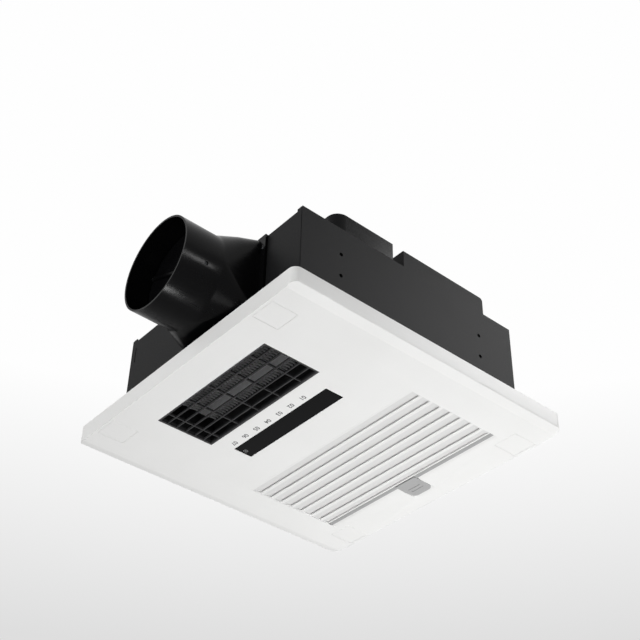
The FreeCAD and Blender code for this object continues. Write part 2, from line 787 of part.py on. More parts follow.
def make_top_boxes():
    y0 = -housing_half + box_setback
    z0, z1 = housing_h, housing_h + box_h
    w = box_wall
    y1 = y0 + wiring_depth
    wiring = block(wiring_x0, wiring_x1, y0, y1, z0, z1)
    corner = [e for e in wiring.Edges if abs(e.tangentAt(e.FirstParameter).z) > 0.5
              and e.Vertexes[0].X < wiring_x0 + w and e.Vertexes[0].Y < y0 + w]
    wiring = wiring.makeFillet(wiring_corner_r, corner)
    hollow = block(wiring_x0 + w, wiring_x1 - w, y0 + w, y1 - w, z0 - overrun, z1 - w)
    hollow_corner = [e for e in hollow.Edges if abs(e.tangentAt(e.FirstParameter).z) > 0.5
                     and e.Vertexes[0].X < wiring_x0 + 2 * w and e.Vertexes[0].Y < y0 + 2 * w]
    hollow = hollow.makeFillet(wiring_corner_r - w, hollow_corner)
    gland_x = (wiring_x0 + wiring_x1) / 2
    gland_z = z0 + box_h / 2
    entry = rod(gland_r, w + overrun, V(gland_x, y1 - w, gland_z), Y_AXIS)
    save(wiring.cut(hollow).cut(entry), "wiring_box")
    gland = fused([rod(gland_r, gland_len, V(gland_x, y1 - w, gland_z), Y_AXIS),
                   rod(gland_nut_r, gland_nut_len, V(gland_x, y1, gland_z), Y_AXIS)])
    save(gland.cut(rod(gland_bore_r, gland_len + 2 * overrun, V(gland_x, y1 - overrun, gland_z), Y_AXIS)),
         "cable_gland")
    tx = (wiring_x0 + wiring_x1) / 2
    ty = (y0 + y1) / 2 - terminal_d / 2
    terminal = block(tx - terminal_w / 2, tx + terminal_w / 2, ty - terminal_d / 2, ty + terminal_d / 2,
                     z0, z0 + terminal_h)
    for i in range(terminal_ways):
        x = tx + terminal_w * ((i + 0.5) / terminal_ways - 0.5)
        terminal = terminal.cut(rod(terminal_bore_r, terminal_h, V(x, ty, z0 + terminal_h / 2), Z_AXIS))
    save(terminal, "terminal_block")
    y1 = y0 + control_depth
    control = block(control_x0, control_x1, y0, y1, z0, z1)
    upper = [e for e in control.Edges if e.BoundBox.ZMin > z1 - w and e.BoundBox.XMin > control_x1 - w]
    control = control.makeFillet(control_round, upper)
    hollow = block(control_x0 + sheet, control_x1 - sheet, y0 + sheet, y1 - sheet,
                   z0 - overrun, z1 - control_round)
    save(control.cut(hollow), "control_box")
    m = pcb_margin
    bx0, bx1, by0, by1 = control_x0 + m, control_x1 - m, y0 + m, y1 - m
    bz = z0 + pcb_lift
    pieces = [block(bx0, bx1, by0, by1, bz, bz + pcb_t)]
    for x in (bx0 + m, bx1 - m):
        for y in (by0 + m, by1 - m):
            pieces.append(rod(m / 2, pcb_lift, V(x, y, z0), Z_AXIS))
    size = (bx1 - bx0) * relay_share
    for i in range(relay_count):
        x = bx0 + m + (size + m) * i
        pieces.append(block(x, x + size, by0 + 2 * m, by0 + 2 * m + size, bz + pcb_t, bz + pcb_t + relay_h))
    save(fused(pieces), "control_board")


def quarter_arcs(x, half, radius):
    """The four corner arcs of a rounded square across the duct, a circle if half and radius agree."""
    arcs = []
    for k in range(4):
        mid = pi / 4 + k * pi / 2
        sy, sz = (1 if cos(mid) > 0 else -1), (1 if sin(mid) > 0 else -1)
        cy, cz = duct_y + sy * (half - radius), duct_z + sz * (half - radius)
        spots = [V(x, cy + radius * cos(mid + d), cz + radius * sin(mid + d)) for d in (-pi / 4, 0, pi / 4)]
        arcs.append(Part.Arc(spots[0], spots[1], spots[2]).toShape())
    return arcs


def transition(half, corner_r, middle_r, round_r):
    """Square to round over a shoulder: flat sides, slanting cones at the corners."""
    shoulder_x = base_x - adapter_len * shoulder_share
    rows = [quarter_arcs(base_x, half, corner_r), quarter_arcs(shoulder_x, half, middle_r),
            quarter_arcs(duct_neck_x, round_r, round_r)]
    faces = []
    for low, high in zip(rows, rows[1:]):
        for k in range(4):
            n = (k + 1) % 4
            faces.append(Part.makeRuledSurface(low[k], high[k]))
            corners = [low[k].valueAt(low[k].LastParameter), low[n].valueAt(low[n].FirstParameter),
                       high[n].valueAt(high[n].FirstParameter), high[k].valueAt(high[k].LastParameter)]
            if (corners[2] - corners[3]).Length < running_gap:
                corners.pop()
            faces.append(Part.Face(Part.makePolygon(corners + corners[:1])))
    square = rows[0]
    rim = []
    for k in range(4):
        start = square[k].valueAt(square[k].LastParameter)
        after = square[(k + 1) % 4]
        rim += [square[k], Part.LineSegment(start, after.valueAt(after.FirstParameter)).toShape()]
    faces.append(Part.Face(Part.Wire(rim)))
    faces.append(Part.Face(Part.Wire(rows[-1])))
    skin = Part.makeCompound(faces)
    skin.sewShape()
    solid = Part.Solid(skin.Shells[0] if skin.ShapeType != "Shell" else skin)
    if solid.Volume < 0:
        solid.reverse()
    return solid


def make_duct_adapter():
    half = base_side / 2
    outer = transition(half, base_corner_r, shoulder_r, duct_r)
    inner = transition(half - duct_wall, base_corner_r - duct_wall, shoulder_r - duct_wall,
                       duct_r - duct_wall)
    spigot = rod(duct_r, duct_len, V(duct_mouth_x, duct_y, duct_z), X_AXIS)
    bore = rod(duct_r - duct_wall, duct_len + overrun, V(duct_mouth_x - overrun, duct_y, duct_z), X_AXIS)
    reach = half + base_flange_w
    plate = block(base_x, -housing_half, duct_y - reach, duct_y + reach, duct_z - half, duct_z + half)
    mouth = block(base_x - overrun, -housing_half + overrun, duct_y - wall_hole_half,
                  duct_y + wall_hole_half, duct_hole_z0, duct_hole_z1)
    shell = fused([outer, spigot]).cut(bore).cut(inner)
    adapter = fused([shell, plate.cut(mouth)])
    span = 2 * duct_r + 2 * overrun
    axle_hole = rod(damper_axle_r + running_gap, span, V(damper_x, duct_y - span / 2, damper_z), Y_AXIS)
    adapter = adapter.cut(duct_turned(axle_hole))
    places = adapter_screw_places()
    for y, z in places:
        start = V(base_x - overrun, y, z)
        adapter = adapter.cut(rod(adapter_screw_r, base_flange_t + 2 * overrun, start, X_AXIS))
    save(adapter, "duct_adapter")
    screws = []
    for y, z in places:
        shank = rod(adapter_screw_r, base_flange_t, V(base_x, y, z), X_AXIS)
        head = rod(adapter_head_r, adapter_head_h, V(base_x - adapter_head_h, y, z), X_AXIS)
        screws.append(fused([shank, head]))
    save(grouped(screws), "adapter_screws")


def adapter_screw_places():
    half = base_side / 2
    y = half + base_flange_w - adapter_screw_inset
    return [(duct_y + sy * y, duct_z + sz * half * adapter_screw_share) for sy in (-1, 1) for sz in (-1, 1)]


def duct_turned(shape):
    """Turns a shape drawn level about the duct's axis, to the slant of the damper's axle."""
    shape.rotate(V(0, duct_y, duct_z), X_AXIS, damper_turn_deg)
    return shape


def make_damper():
    disc = rod(damper_r, damper_t, V(damper_x - damper_t / 2, duct_y, duct_z), X_AXIS)
    hub_half = sqrt(damper_r ** 2 - damper_above ** 2) - damper_hub_r
    hub = rod(damper_hub_r, 2 * hub_half, V(damper_x, duct_y - hub_half, damper_z), Y_AXIS)
    start = V(damper_x, duct_y - damper_axle_half, damper_z)
    axle = rod(damper_axle_r, 2 * damper_axle_half, start, Y_AXIS)
    save(duct_turned(fused([disc, hub]).cut(axle)), "damper_flap")
    save(duct_turned(axle), "damper_axle")


def make_air_guide():
    x0, x1 = -housing_in, guide_x1
    y0, y1, t = guide_y0, guide_y1, guide_t
    z0, z1 = heater_z1, top_under_z
    xs = heater_spaces()
    floor = block(x0, x1, y0, y1, z0, z0 + t)
    floor = floor.cut(block(xs[0], xs[-1], outlet_y0 + heater_end, outlet_y1 - heater_end,
                            z0 - overrun, z0 + overrun))
    pieces = [floor, block(x0, x1, y0, y0 + t, z0, z1), block(x0, x1, y1 - t, y1, z0, z1)]
    end = block(x1 - t, x1, y0, y1, z0, z1)
    end = end.cut(block(x1 - 2 * t, x1 + t, mouth_y0 + mouth_frame, scroll_r1 - mouth_frame,
                        scroll_z0 + scroll_wall + mouth_frame, z1 - mouth_frame))
    pieces.append(end)
    ear_y = flap_y1 + body_gap
    pieces.append(block(flap_x - flap_ear_w / 4, flap_x + flap_ear_w, ear_y, ear_y + flap_ear_t,
                        z0, flap_axle_z + flap_ear_w / 2))
    guide = fused(pieces)
    axle_at = V(flap_x, y0 - overrun, flap_axle_z)
    guide = guide.cut(rod(flap_axle_r + running_gap, y1 - y0, axle_at, Y_AXIS))
    save(guide, "air_guide")


def make_changeover_flap():
    z1 = top_under_z - flap_top_gap
    plate = block(flap_x - flap_t / 2, flap_x + flap_t / 2, flap_y0, flap_y1, flap_axle_z, z1)
    hub = rod(flap_hub_r, flap_y1 - flap_y0, V(flap_x, flap_y0, flap_axle_z), Y_AXIS)
    y0 = guide_y0 - flap_shaft_depth + slide_gap
    y1 = flap_y1 + body_gap + flap_ear_t
    axle = rod(flap_axle_r, y1 - y0, V(flap_x, y0, flap_axle_z), Y_AXIS)
    save(fused([plate, hub]).cut(axle), "changeover_flap")
    save(axle, "changeover_axle")
    outward = V(0, -1, 0)
    nose_at = V(flap_x, guide_y0, flap_axle_z)
    body_at = nose_at + V(flap_motor_r - flap_hub_r, 0, flap_motor_r / 2)
    motor = rod(flap_motor_r, flap_motor_len, body_at, outward)
    motor = fused([motor, rod(flap_hub_r, flap_motor_len, nose_at, outward)])
    bore = rod(flap_axle_r + running_gap, flap_shaft_depth + slide_gap, nose_at, outward)
    save(motor.cut(bore), "changeover_motor")


def spiral_point(angle_deg, extra, z):
    """A point of the scroll's spiral, its radius growing evenly with the angle."""
    grown = (angle_deg - scroll_start_deg) / scroll_sweep_deg
    r = scroll_r0 + (scroll_r1 - scroll_r0) * grown + extra
    return V(fan_x + r * cos(radians(angle_deg)), r * sin(radians(angle_deg)), z)


def scroll_outline(start_deg, extra, low_y, z):
    end_deg = scroll_start_deg + scroll_sweep_deg
    spots = [spiral_point(start_deg + (end_deg - start_deg) * i / (scroll_points - 1), extra, z)
             for i in range(scroll_points)]
    curve = Part.BSplineCurve()
    curve.interpolate(spots)
    top_y = scroll_r1 + extra
    path = [spots[-1], V(guide_x1, top_y, z), V(guide_x1, low_y, z), spots[0]]
    edges = [curve.toShape()] + [Part.LineSegment(a, b).toShape() for a, b in zip(path, path[1:])]
    return Part.Face(Part.Wire(edges))


def make_scroll():
    wall = scroll_wall
    outer = scroll_outline(scroll_join_deg, wall, mouth_y0 - wall, scroll_z0)
    outer = outer.extrude(V(0, 0, top_under_z - scroll_z0))
    inner = scroll_outline(scroll_start_deg, 0, mouth_y0, scroll_z0 + wall)
    inner = inner.extrude(V(0, 0, top_under_z))
    scroll = outer.cut(inner)
    scroll = scroll.cut(rod(inlet_hole_r, 2 * overrun, V(fan_x, 0, scroll_z0 - overrun), Z_AXIS))
    save(scroll, "fan_scroll")
    z = scroll_z0
    ring_profile = [(inlet_flange_r, z - inlet_flange_t), (inlet_flange_r, z), (inlet_hole_r, z),
                    (inlet_r + inlet_lip, z + scroll_wall),
                    (inlet_r + slide_gap, z + inlet_round - scroll_wall),
                    (inlet_r - scroll_wall, z + inlet_round - scroll_wall), (inlet_r, z),
                    (inlet_r + inlet_round, z - inlet_flange_t)]
    save(turned(ring_profile, V(fan_x, 0, 0)), "inlet_ring")


def make_fan():
    centre = V(fan_x, 0, 0)
    w = cup_wall
    cup = turned([(shaft_r, hub_z0), (hub_r, hub_z0), (hub_r, cup_floor_z - w), (cup_r - w, cup_floor_z - w),
                  (cup_r, cup_floor_z), (cup_r + w, wheel_z1 - ring_t), (fan_r, wheel_z1 - ring_t),
                  (fan_r, wheel_z1), (cup_r, wheel_z1), (cup_r - w, cup_floor_z),
                  (shaft_r, cup_floor_z)], centre)
    lower = turned([(fan_r - ring_w, wheel_z0), (fan_r, wheel_z0), (fan_r, wheel_z0 + ring_t),
                    (fan_r - ring_w, wheel_z0 + ring_t)], centre)
    blade = fan_blade()
    blades = []
    for i in range(blade_count):
        copy = blade.copy()
        copy.rotate(centre, Z_AXIS, 360 * i / blade_count)
        blades.append(copy)
    save(fused([cup, lower] + blades), "fan_wheel")
    save(rod(shaft_r, shaft_z1 - shaft_z0, V(fan_x, 0, shaft_z0), Z_AXIS), "fan_shaft")


def fan_blade():
    """A forward-curved blade, its section between two arcs, drawn out along the axis."""
    lean = radians(blade_lean_deg)
    inner_r, outer_r = blade_inner_r, fan_r - blade_t
    a = V(fan_x + inner_r, 0, wheel_z0)
    b = V(fan_x + outer_r * cos(lean), outer_r * sin(lean), wheel_z0)
    chord = b - a
    across = V(-chord.y, chord.x, 0)
    across.normalize()
    bow = chord.Length * blade_bow_share
    mid = (a + b) * 0.5 - across * bow
    shift = across * blade_t
    edges = [Part.Arc(a, mid, b).toShape(), Part.LineSegment(b, b + shift).toShape(),
             Part.Arc(b + shift, mid + shift, a + shift).toShape(), Part.LineSegment(a + shift, a).toShape()]
    return Part.Face(Part.Wire(edges)).extrude(V(0, 0, wheel_z1 - ring_t / 2 - wheel_z0))


def make_motor():
    top = top_under_z - bracket_t
    centre = V(fan_x, 0, 0)
    can = turned([(0, motor_z0), (motor_r - motor_round, motor_z0), (motor_r, motor_z0 + motor_round),
                  (motor_r, top), (0, top)], centre)
    bore = rod(shaft_r + running_gap, shaft_z1 + slide_gap - motor_z0 + overrun,
               V(fan_x, 0, motor_z0 - overrun), Z_AXIS)
    save(can.cut(bore), "fan_motor")
    pieces = [rod(motor_r, bracket_t, V(fan_x, 0, top), Z_AXIS)]
    screws = []
    for k in range(bracket_arms):
        angle = 360 * k / bracket_arms + bracket_turn_deg
        arm = block(0, bracket_r, -bracket_arm_w / 2, bracket_arm_w / 2, top, top + bracket_t)
        arm.rotate(V(0, 0, 0), Z_AXIS, angle)
        arm.translate(centre)
        pieces.append(arm)
        r = (motor_r + bracket_r) / 2
        place = V(fan_x + r * cos(radians(angle)), r * sin(radians(angle)), top - motor_screw_h)
        screws.append(rod(motor_screw_r, motor_screw_h, place, Z_AXIS))
    save(fused(pieces), "motor_bracket")
    save(grouped(screws), "motor_screws")


def main():
    os.makedirs("parts", exist_ok=True)
    make_panel()
    make_corner_covers()
    make_panel_screws()
    make_outlet_guard()
    make_outlet_sleeve()
    for index in range(long_bars):
        make_vane(index)
    make_vane_link()
    make_swing_motor()
    make_heater()
    make_display()
    make_intake_louvre()
    make_filter()
    make_filter_guide()
    make_housing()
    make_top_boxes()
    make_duct_adapter()
    make_damper()
    make_air_guide()
    make_changeover_flap()
    make_scroll()
    make_fan()
    make_motor()


main()
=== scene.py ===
import json
import math

import bmesh
import bpy
from mathutils import Matrix, Vector


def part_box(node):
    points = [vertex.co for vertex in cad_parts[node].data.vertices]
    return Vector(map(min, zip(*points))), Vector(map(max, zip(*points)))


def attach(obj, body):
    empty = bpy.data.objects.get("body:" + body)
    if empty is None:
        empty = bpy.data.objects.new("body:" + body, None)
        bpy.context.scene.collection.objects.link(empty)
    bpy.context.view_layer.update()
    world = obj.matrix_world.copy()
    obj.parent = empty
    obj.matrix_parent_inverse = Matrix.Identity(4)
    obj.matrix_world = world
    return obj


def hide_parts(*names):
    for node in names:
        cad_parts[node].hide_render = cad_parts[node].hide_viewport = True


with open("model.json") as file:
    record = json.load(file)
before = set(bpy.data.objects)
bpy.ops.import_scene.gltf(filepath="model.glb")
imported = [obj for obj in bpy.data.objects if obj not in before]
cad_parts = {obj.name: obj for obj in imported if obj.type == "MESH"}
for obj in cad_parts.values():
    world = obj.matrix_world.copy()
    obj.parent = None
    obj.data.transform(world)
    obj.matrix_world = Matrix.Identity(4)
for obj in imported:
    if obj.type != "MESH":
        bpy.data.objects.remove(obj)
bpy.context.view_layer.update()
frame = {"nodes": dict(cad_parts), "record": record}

bl_info = {
    "name": "Ceiling bathroom heater",
    "version": (1, 1, 0),
    "blender": (4, 5, 0),
    "location": "View3D > Sidebar > Heater",
    "description": "Finishes a ceiling bathroom heater: panel, outlet, intake, housing and duct",
    "category": "Object",
}

MM = 0.001
ROOT = "heater"
VANES = ["swing_vane_%d" % n for n in range(1, 6)]
# Heights of the panel's face and of the front of the fins
FACE_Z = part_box("front_panel")[0].z
FINS_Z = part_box("heater_fins")[0].z
# Room left beside what moves or is framed, and the distance under which two corners are one
SPARE = 0.3 * MM
JOIN = 0.002 * MM
# Faces that meet at less than this are shaded as one, on copied and on newly made shapes
COPY_DEG = 30.0
MADE_DEG = 35.0
# Edges sharper than this are rounded, by these widths unless a size says otherwise
BEVEL_DEG = 40.0
EDGES = {"corner_covers": 0.12 * MM, "heater_bars": 0.5 * MM, "thermal_cutout": 0.4 * MM,
         "swing_motor": 0.3 * MM, "cable_gland": 0.4 * MM, "damper_flap": 0.3 * MM}
# Sides of small turned pieces
TURNED = 20


# Colours and materials

def linear(hex_code):
    """An sRGB hex value as linear red, green and blue."""
    channels = [int(hex_code[i:i + 2], 16) / 255 for i in (1, 3, 5)]
    return [c / 12.92 if c <= 0.04045 else ((c + 0.055) / 1.055) ** 2.4 for c in channels]


def add(tree, kind, settings=(), links=()):
    """One node with its settings, and links into its inputs."""
    node = tree.nodes.new(kind)
    for key, value in dict(settings).items():
        if isinstance(key, str) and hasattr(node, key):
            setattr(node, key, value)
        else:
            node.inputs[key].default_value = value
    for key, source in dict(links).items():
        tree.links.new(source, node.inputs[key])
    return node


def finish(name, colour, dark, grain_mm, stretch, bump_mm, rough, settings, depth=()):
    """A material whose colour, gloss and relief follow one grain of a real size, and may carry painted
    shade between given heights.
    """
    cloud_mm, noise_low, noise_high = 60, 0.3, 0.7
    material = bpy.data.materials.new(name)
    material.use_nodes = True
    tree = material.node_tree
    tree.nodes.clear()
    place = add(tree, "ShaderNodeTexCoord")
    turn = add(tree, "ShaderNodeMapping", {"Scale": stretch}, {"Vector": place.outputs["Object"]})
    grain = add(tree, "ShaderNodeTexNoise", {"Scale": 1 / (grain_mm * MM), "Detail": 3.0},
                {"Vector": turn.outputs["Vector"]})
    cloud = add(tree, "ShaderNodeTexNoise", {"Scale": 1 / (cloud_mm * MM), "Detail": 2.0},
                {"Vector": place.outputs["Object"]})
    both = add(tree, "ShaderNodeMath", {"operation": "MULTIPLY"},
               {0: grain.outputs["Fac"], 1: cloud.outputs["Fac"]})
    tint = add(tree, "ShaderNodeMix", {"data_type": "RGBA", 6: list(colour) + [1], 7: linear(dark) + [1]},
               {0: both.outputs["Value"]})
    for step in depth:
        tint = painted_shade_step(tree, place, tint, *step)
    gloss = add(tree, "ShaderNodeMapRange",
                {"From Min": noise_low, "From Max": noise_high, "To Min": rough[0], "To Max": rough[1]},
                {"Value": grain.outputs["Fac"]})
    relief = add(tree, "ShaderNodeBump", {"Strength": 1.0, "Distance": bump_mm * MM},
                 {"Height": grain.outputs["Fac"]})
    shader = add(tree, "ShaderNodeBsdfPrincipled", settings,
                 {"Base Color": tint.outputs[2], "Roughness": gloss.outputs["Result"],
                  "Normal": relief.outputs["Normal"]})
    add(tree, "ShaderNodeOutputMaterial", (), {"Surface": shader.outputs["BSDF"]})
    return material


def painted_shade_step(tree, place, tint, start, end, code):
    """Painted shade: the tint, going over to another colour between two heights."""
    height = add(tree, "ShaderNodeSeparateXYZ", (), {0: place.outputs["Object"]})
    share = add(tree, "ShaderNodeMapRange", {"From Min": start, "From Max": end},
                {"Value": height.outputs["Z"]})
    return add(tree, "ShaderNodeMix", {"data_type": "RGBA", 7: linear(code) + [1]},
               {0: share.outputs["Result"], 6: tint.outputs[2]})


def make_materials(colours):
    """Every finish on the heater, by its slot in the record or a name of its own."""
    even, drawn = (1, 1, 1), (1, 0.08, 1)
    skin = {"IOR": 1.5}
    nylon = {"IOR": 1.5, "Specular IOR Level": 0.3}
    metal = {"Metallic": 1.0}
    made = {}
    # ABS moulded in a spark-eroded tool: soft satin white with a fine tooth, drawn at 0.6 mm to show
    made["panel_white"] = finish("satin_moulded_abs", colours.panel, "#DEDEDC", 0.6, even, 0.004,
                                 (0.36, 0.48), skin)
    # The same ABS on the slats, with painted shade: darker as they slope up, where the grille's soft shade
    # falls
    made["slat_white"] = finish("satin_moulded_abs_slats", colours.panel, "#DEDEDC", 0.6, even, 0.004,
                                (0.36, 0.48), skin,
                                ((FACE_Z + 0.05 * MM, FACE_Z + 0.4 * MM, "#D8D8D7"),
                                 (FACE_Z + 1.3 * MM, FACE_Z + 3.2 * MM, "#D0D0CF")))
    # Glass-filled nylon, moulded: dull black, cloudy where the fibres come to the skin
    made["guard_black"] = finish("glass_filled_nylon", colours.guard, "#262627", 0.9, even, 0.012,
                                 (0.42, 0.58), nylon)
    # The same nylon on the guard, which faces the room, in a lighter copy as painted light where the lamps
    # fall on it
    made["guard_front"] = finish("glass_filled_nylon_rubbed", colours.grid, "#38383A", 0.9, even, 0.012,
                                 (0.42, 0.58), nylon)
    # Cast acrylic, polished and painted behind: deep black with a clear but weak mirror image
    made["window_black"] = finish("polished_acrylic", colours.window, "#0C0C0D", 3.0, (1, 0.2, 1), 0.0005,
                                  (0.06, 0.12), {"IOR": 1.49, "Specular IOR Level": 0.06})
    # Moulded polypropylene: waxy mid grey
    made["filter_grey"] = finish("moulded_polypropylene", colours.filter, "#949494", 0.8, even, 0.006,
                                 (0.42, 0.54), skin)
    # Woven nylon monofilament: pale grey threads with a slight shine
    made["net_grey"] = finish("woven_nylon_thread", linear("#B5B5B4"), "#8E8E8D", 0.4, even, 0.01,
                              (0.38, 0.5), skin)
    # Powder coat on sheet steel: satin black, with the orange peel of cured powder about 1.4 mm apart
    made["housing_black"] = finish("black_powder_coat", colours.housing, "#1B1B1C", 1.4, even, 0.008,
                                   (0.44, 0.56), {"IOR": 1.5, "Specular IOR Level": 0.075})
    # ABS from a polished tool: gloss black, its flow lines running along the duct
    made["duct_black"] = finish("gloss_moulded_abs", colours.duct, "#0B0B0C", 2.5, (0.15, 1, 1), 0.001,
                                (0.19, 0.26), {"IOR": 1.5, "Specular IOR Level": 0.08})
    # Zinc plate over steel: cool grey with a faint crystal bloom
    made["steel"] = finish("zinc_plated_steel", linear("#B9BBBE"), "#8F9194", 1.2, even, 0.003,
                           (0.26, 0.42), metal)
    # Black oxide on screw steel: a dark satin grey that barely shines
    made["dark_steel"] = finish("black_oxide_steel", linear("#2A2B2D"), "#18191A", 0.6, even, 0.002,
                                (0.40, 0.52), {"Metallic": 0.9})
    # Extruded aluminium under a thick oxide skin: pale matt grey, drawn along the extrusion
    made["aluminium"] = finish("extruded_aluminium", linear("#F8F8F9"), "#E6E7E9", 0.8, drawn, 0.004,
                               (0.42, 0.56), skin)
    # Thin fin sheet: bright at the sheared front edge, with painted shade darkening it deeper between the
    # folds
    made["fin_sheet"] = finish("folded_aluminium_sheet", linear("#F4F4F5"), "#E0E1E3", 0.8, drawn, 0.004,
                               (0.42, 0.56), skin,
                               ((FINS_Z + 0.8 * MM, FINS_Z + 2.8 * MM, "#161617"),))
    # Solder resist over glass weave: green with the weave showing through at 0.7 mm
    made["circuit_green"] = finish("solder_resist_board", linear("#1D6B3C"), "#124A29", 0.7, even, 0.006,
                                   (0.28, 0.42), skin)
    # Unpolished moulded polypropylene inside and on top of the housing
    made["inner_black"] = finish("dull_moulded_polypropylene", linear("#1F1F20"), "#161617", 1.0, even,
                                 0.01, (0.48, 0.62), {"IOR": 1.5, "Specular IOR Level": 0.25})
    # Stoved enamel on a drawn steel can
    made["motor_steel"] = finish("enamelled_steel_can", linear("#5A5C5F"), "#47494C", 1.6, even, 0.006,
                                 (0.30, 0.44), skin)
    # Pad-printed ink: flat and slightly uneven, dark on the panel and pale on the strip
    made["print"] = finish("printed_ink", linear("#434345"), "#5A5A5C", 0.3, even, 0.002, (0.5, 0.6), skin)
    made["pale_print"] = finish("pale_printed_ink", linear("#8E8E8E"), "#777777", 0.3, even, 0.002,
                                (0.45, 0.55), skin)
    return made


def finishes():
    """The finishes, made once for the scene."""
    wanted = {}
    for material in bpy.data.materials:
        if material.get("heater_slot"):
            wanted[material["heater_slot"]] = material
    if not wanted:
        for slot, material in make_materials(bpy.context.scene.heater_colours).items():
            material["heater_slot"] = slot
            wanted[slot] = material
    return wanted


# Mesh helpers

def new_object(name, mesh):
    thing = bpy.data.objects.new(name, mesh)
    bpy.context.scene.collection.objects.link(thing)
    return thing


def applied(thing):
    """The object with its modifiers worked into a plain mesh."""
    bpy.context.view_layer.update()
    graph = bpy.context.evaluated_depsgraph_get()
    mesh = bpy.data.meshes.new_from_object(thing.evaluated_get(graph))
    thing.modifiers.clear()
    thing.data = mesh
    mesh.name = thing.name
    return thing


def shade(mesh, angle_deg):
    """Smooth faces, sharp where two faces meet at more than the angle."""
    mesh.shade_smooth()
    mesh.set_sharp_from_angle(angle=math.radians(angle_deg))


def closed(name, work, angle_deg=MADE_DEG):
    """A finished bmesh as an object, its faces outwards."""
    bmesh.ops.recalc_face_normals(work, faces=work.faces)
    mesh = bpy.data.meshes.new(name)
    work.to_mesh(mesh)
    work.free()
    shade(mesh, angle_deg)
    return new_object(name, mesh)


def prism(work, outline, y0, y1):
    """A closed outline of x and z, drawn out along Y."""
    ends = [[work.verts.new((x, y, z)) for x, z in outline] for y in (y0, y1)]
    for end in ends:
        work.faces.new(end)
    count = len(outline)
    for k in range(count):
        after = (k + 1) % count
        work.faces.new((ends[0][k], ends[0][after], ends[1][after], ends[1][k]))


def slab(work, low, high):
    """A plain block between two corners."""
    outline = [(low[0], low[2]), (high[0], low[2]), (high[0], high[2]), (low[0], high[2])]
    prism(work, outline, low[1], high[1])


def ring(work, low, high, width):
    """A flat rectangular ring between two corners."""
    rows = []
    for inset, z in ((0, low[2]), (0, high[2]), (width, high[2]), (width, low[2])):
        x0, x1, y0, y1 = low[0] + inset, high[0] - inset, low[1] + inset, high[1] - inset
        rows.append([work.verts.new((x, y, z)) for x, y in ((x0, y0), (x1, y0), (x1, y1), (x0, y1))])
    for a, b in zip(rows, rows[1:] + rows[:1]):
        for k in range(4):
            work.faces.new((a[k], a[(k + 1) % 4], b[(k + 1) % 4], b[k]))


def lathe(work, outline, sides):
    """An outline of radius and height turned about Z; radius 0 closes it in a point."""
    rows = []
    for radius, z in outline:
        spots = sides if radius else 1
        turns = [2 * math.pi * k / spots for k in range(spots)]
        rows.append([work.verts.new((radius * math.cos(a), radius * math.sin(a), z)) for a in turns])
    for a, b in zip(rows, rows[1:]):
        for k in range(sides):
            after = (k + 1) % sides
            corners = (a[k % len(a)], a[after % len(a)], b[after % len(b)], b[k % len(b)])
            work.faces.new(list(dict.fromkeys(corners)))


def joined_copy(node, name):
    """A copy of a CAD node with its loose triangles joined and smoothly shaded."""
    mesh = frame["nodes"][node].data.copy()
    mesh.name = name
    mesh.materials.clear()
    flat = math.radians(0.2)
    work = bmesh.new()
    work.from_mesh(mesh)
    bmesh.ops.remove_doubles(work, verts=work.verts, dist=JOIN)
    bmesh.ops.dissolve_limit(work, angle_limit=flat, verts=work.verts, edges=work.edges)
    work.to_mesh(mesh)
    work.free()
    if mesh.attributes.get("custom_normal"):
        mesh.attributes.remove(mesh.attributes["custom_normal"])
    shade(mesh, COPY_DEG)
    return new_object(name, mesh)


def soft_edges(thing, width, segments=2):
    """Rounds the sharp edges a little, as a mould does."""
    bevel = thing.modifiers.new("edges", "BEVEL")
    bevel.width = width
    bevel.segments = segments
    bevel.limit_method = "ANGLE"
    bevel.angle_limit = math.radians(BEVEL_DEG)
    bevel.harden_normals = True
    bevel.use_clamp_overlap = True
    return applied(thing)


def merged(name, things):
    """Several objects as one, each face keeping its shading."""
    first = things[0]
    with bpy.context.temp_override(active_object=first, selected_editable_objects=things):
        bpy.ops.object.join()
    first.name = name
    first.data.name = name
    return first


def seat(thing, body, slot, material, *nodes):
    """Gives a piece its finish, its body and the CAD nodes that it stands for."""
    thing.data.materials.clear()
    thing.data.materials.append(material)
    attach(thing, body)
    if nodes:
        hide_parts(*nodes)
    return thing


def paint(material, *nodes):
    """A better material on CAD nodes that keep their shape."""
    for node in nodes:
        mesh = frame["nodes"][node].data
        mesh.materials.clear()
        mesh.materials.append(material)


def slot_of(node):
    for row in frame["record"]["subparts"]:
        if row["node"] == node:
            return row["material_slot"]
    raise RuntimeError("no slot for " + node)


def body_of(node):
    for body, nodes in frame["record"]["behaviour"]["bodies"].items():
        if node in nodes:
            return body
    raise RuntimeError("no body for " + node)


def dressed(node, width=0, look=None):
    """A CAD node's own shape with joined faces and rounded edges, in its own finish."""
    thing = joined_copy(node, node + "_skin")
    width = width or EDGES.get(node)
    if width:
        thing = soft_edges(thing, width)
    slot = slot_of(node)
    return seat(thing, body_of(node), slot, finishes()[look or slot], node)


# Repeated shapes, made by node trees

def new_tree(name, inputs):
    """An empty tree with its named inputs and one result."""
    tree = bpy.data.node_groups.new(name, "GeometryNodeTree")
    for label, kind in inputs:
        tree.interface.new_socket(label, in_out="INPUT", socket_type=kind)
    tree.interface.new_socket("Result", in_out="OUTPUT", socket_type="NodeSocketGeometry")
    return tree, add(tree, "NodeGroupInput")


def end_tree(tree, given, copies):
    """Makes the copies real, gives them their finish and passes them out."""
    real = add(tree, "GeometryNodeRealizeInstances", (), {"Geometry": copies.outputs["Instances"]})
    made = add(tree, "GeometryNodeSetMaterial", (),
               {"Geometry": real.outputs["Geometry"], "Material": given.outputs["Finish"]})
    add(tree, "NodeGroupOutput", (), {"Result": made.outputs["Geometry"]})
    return tree


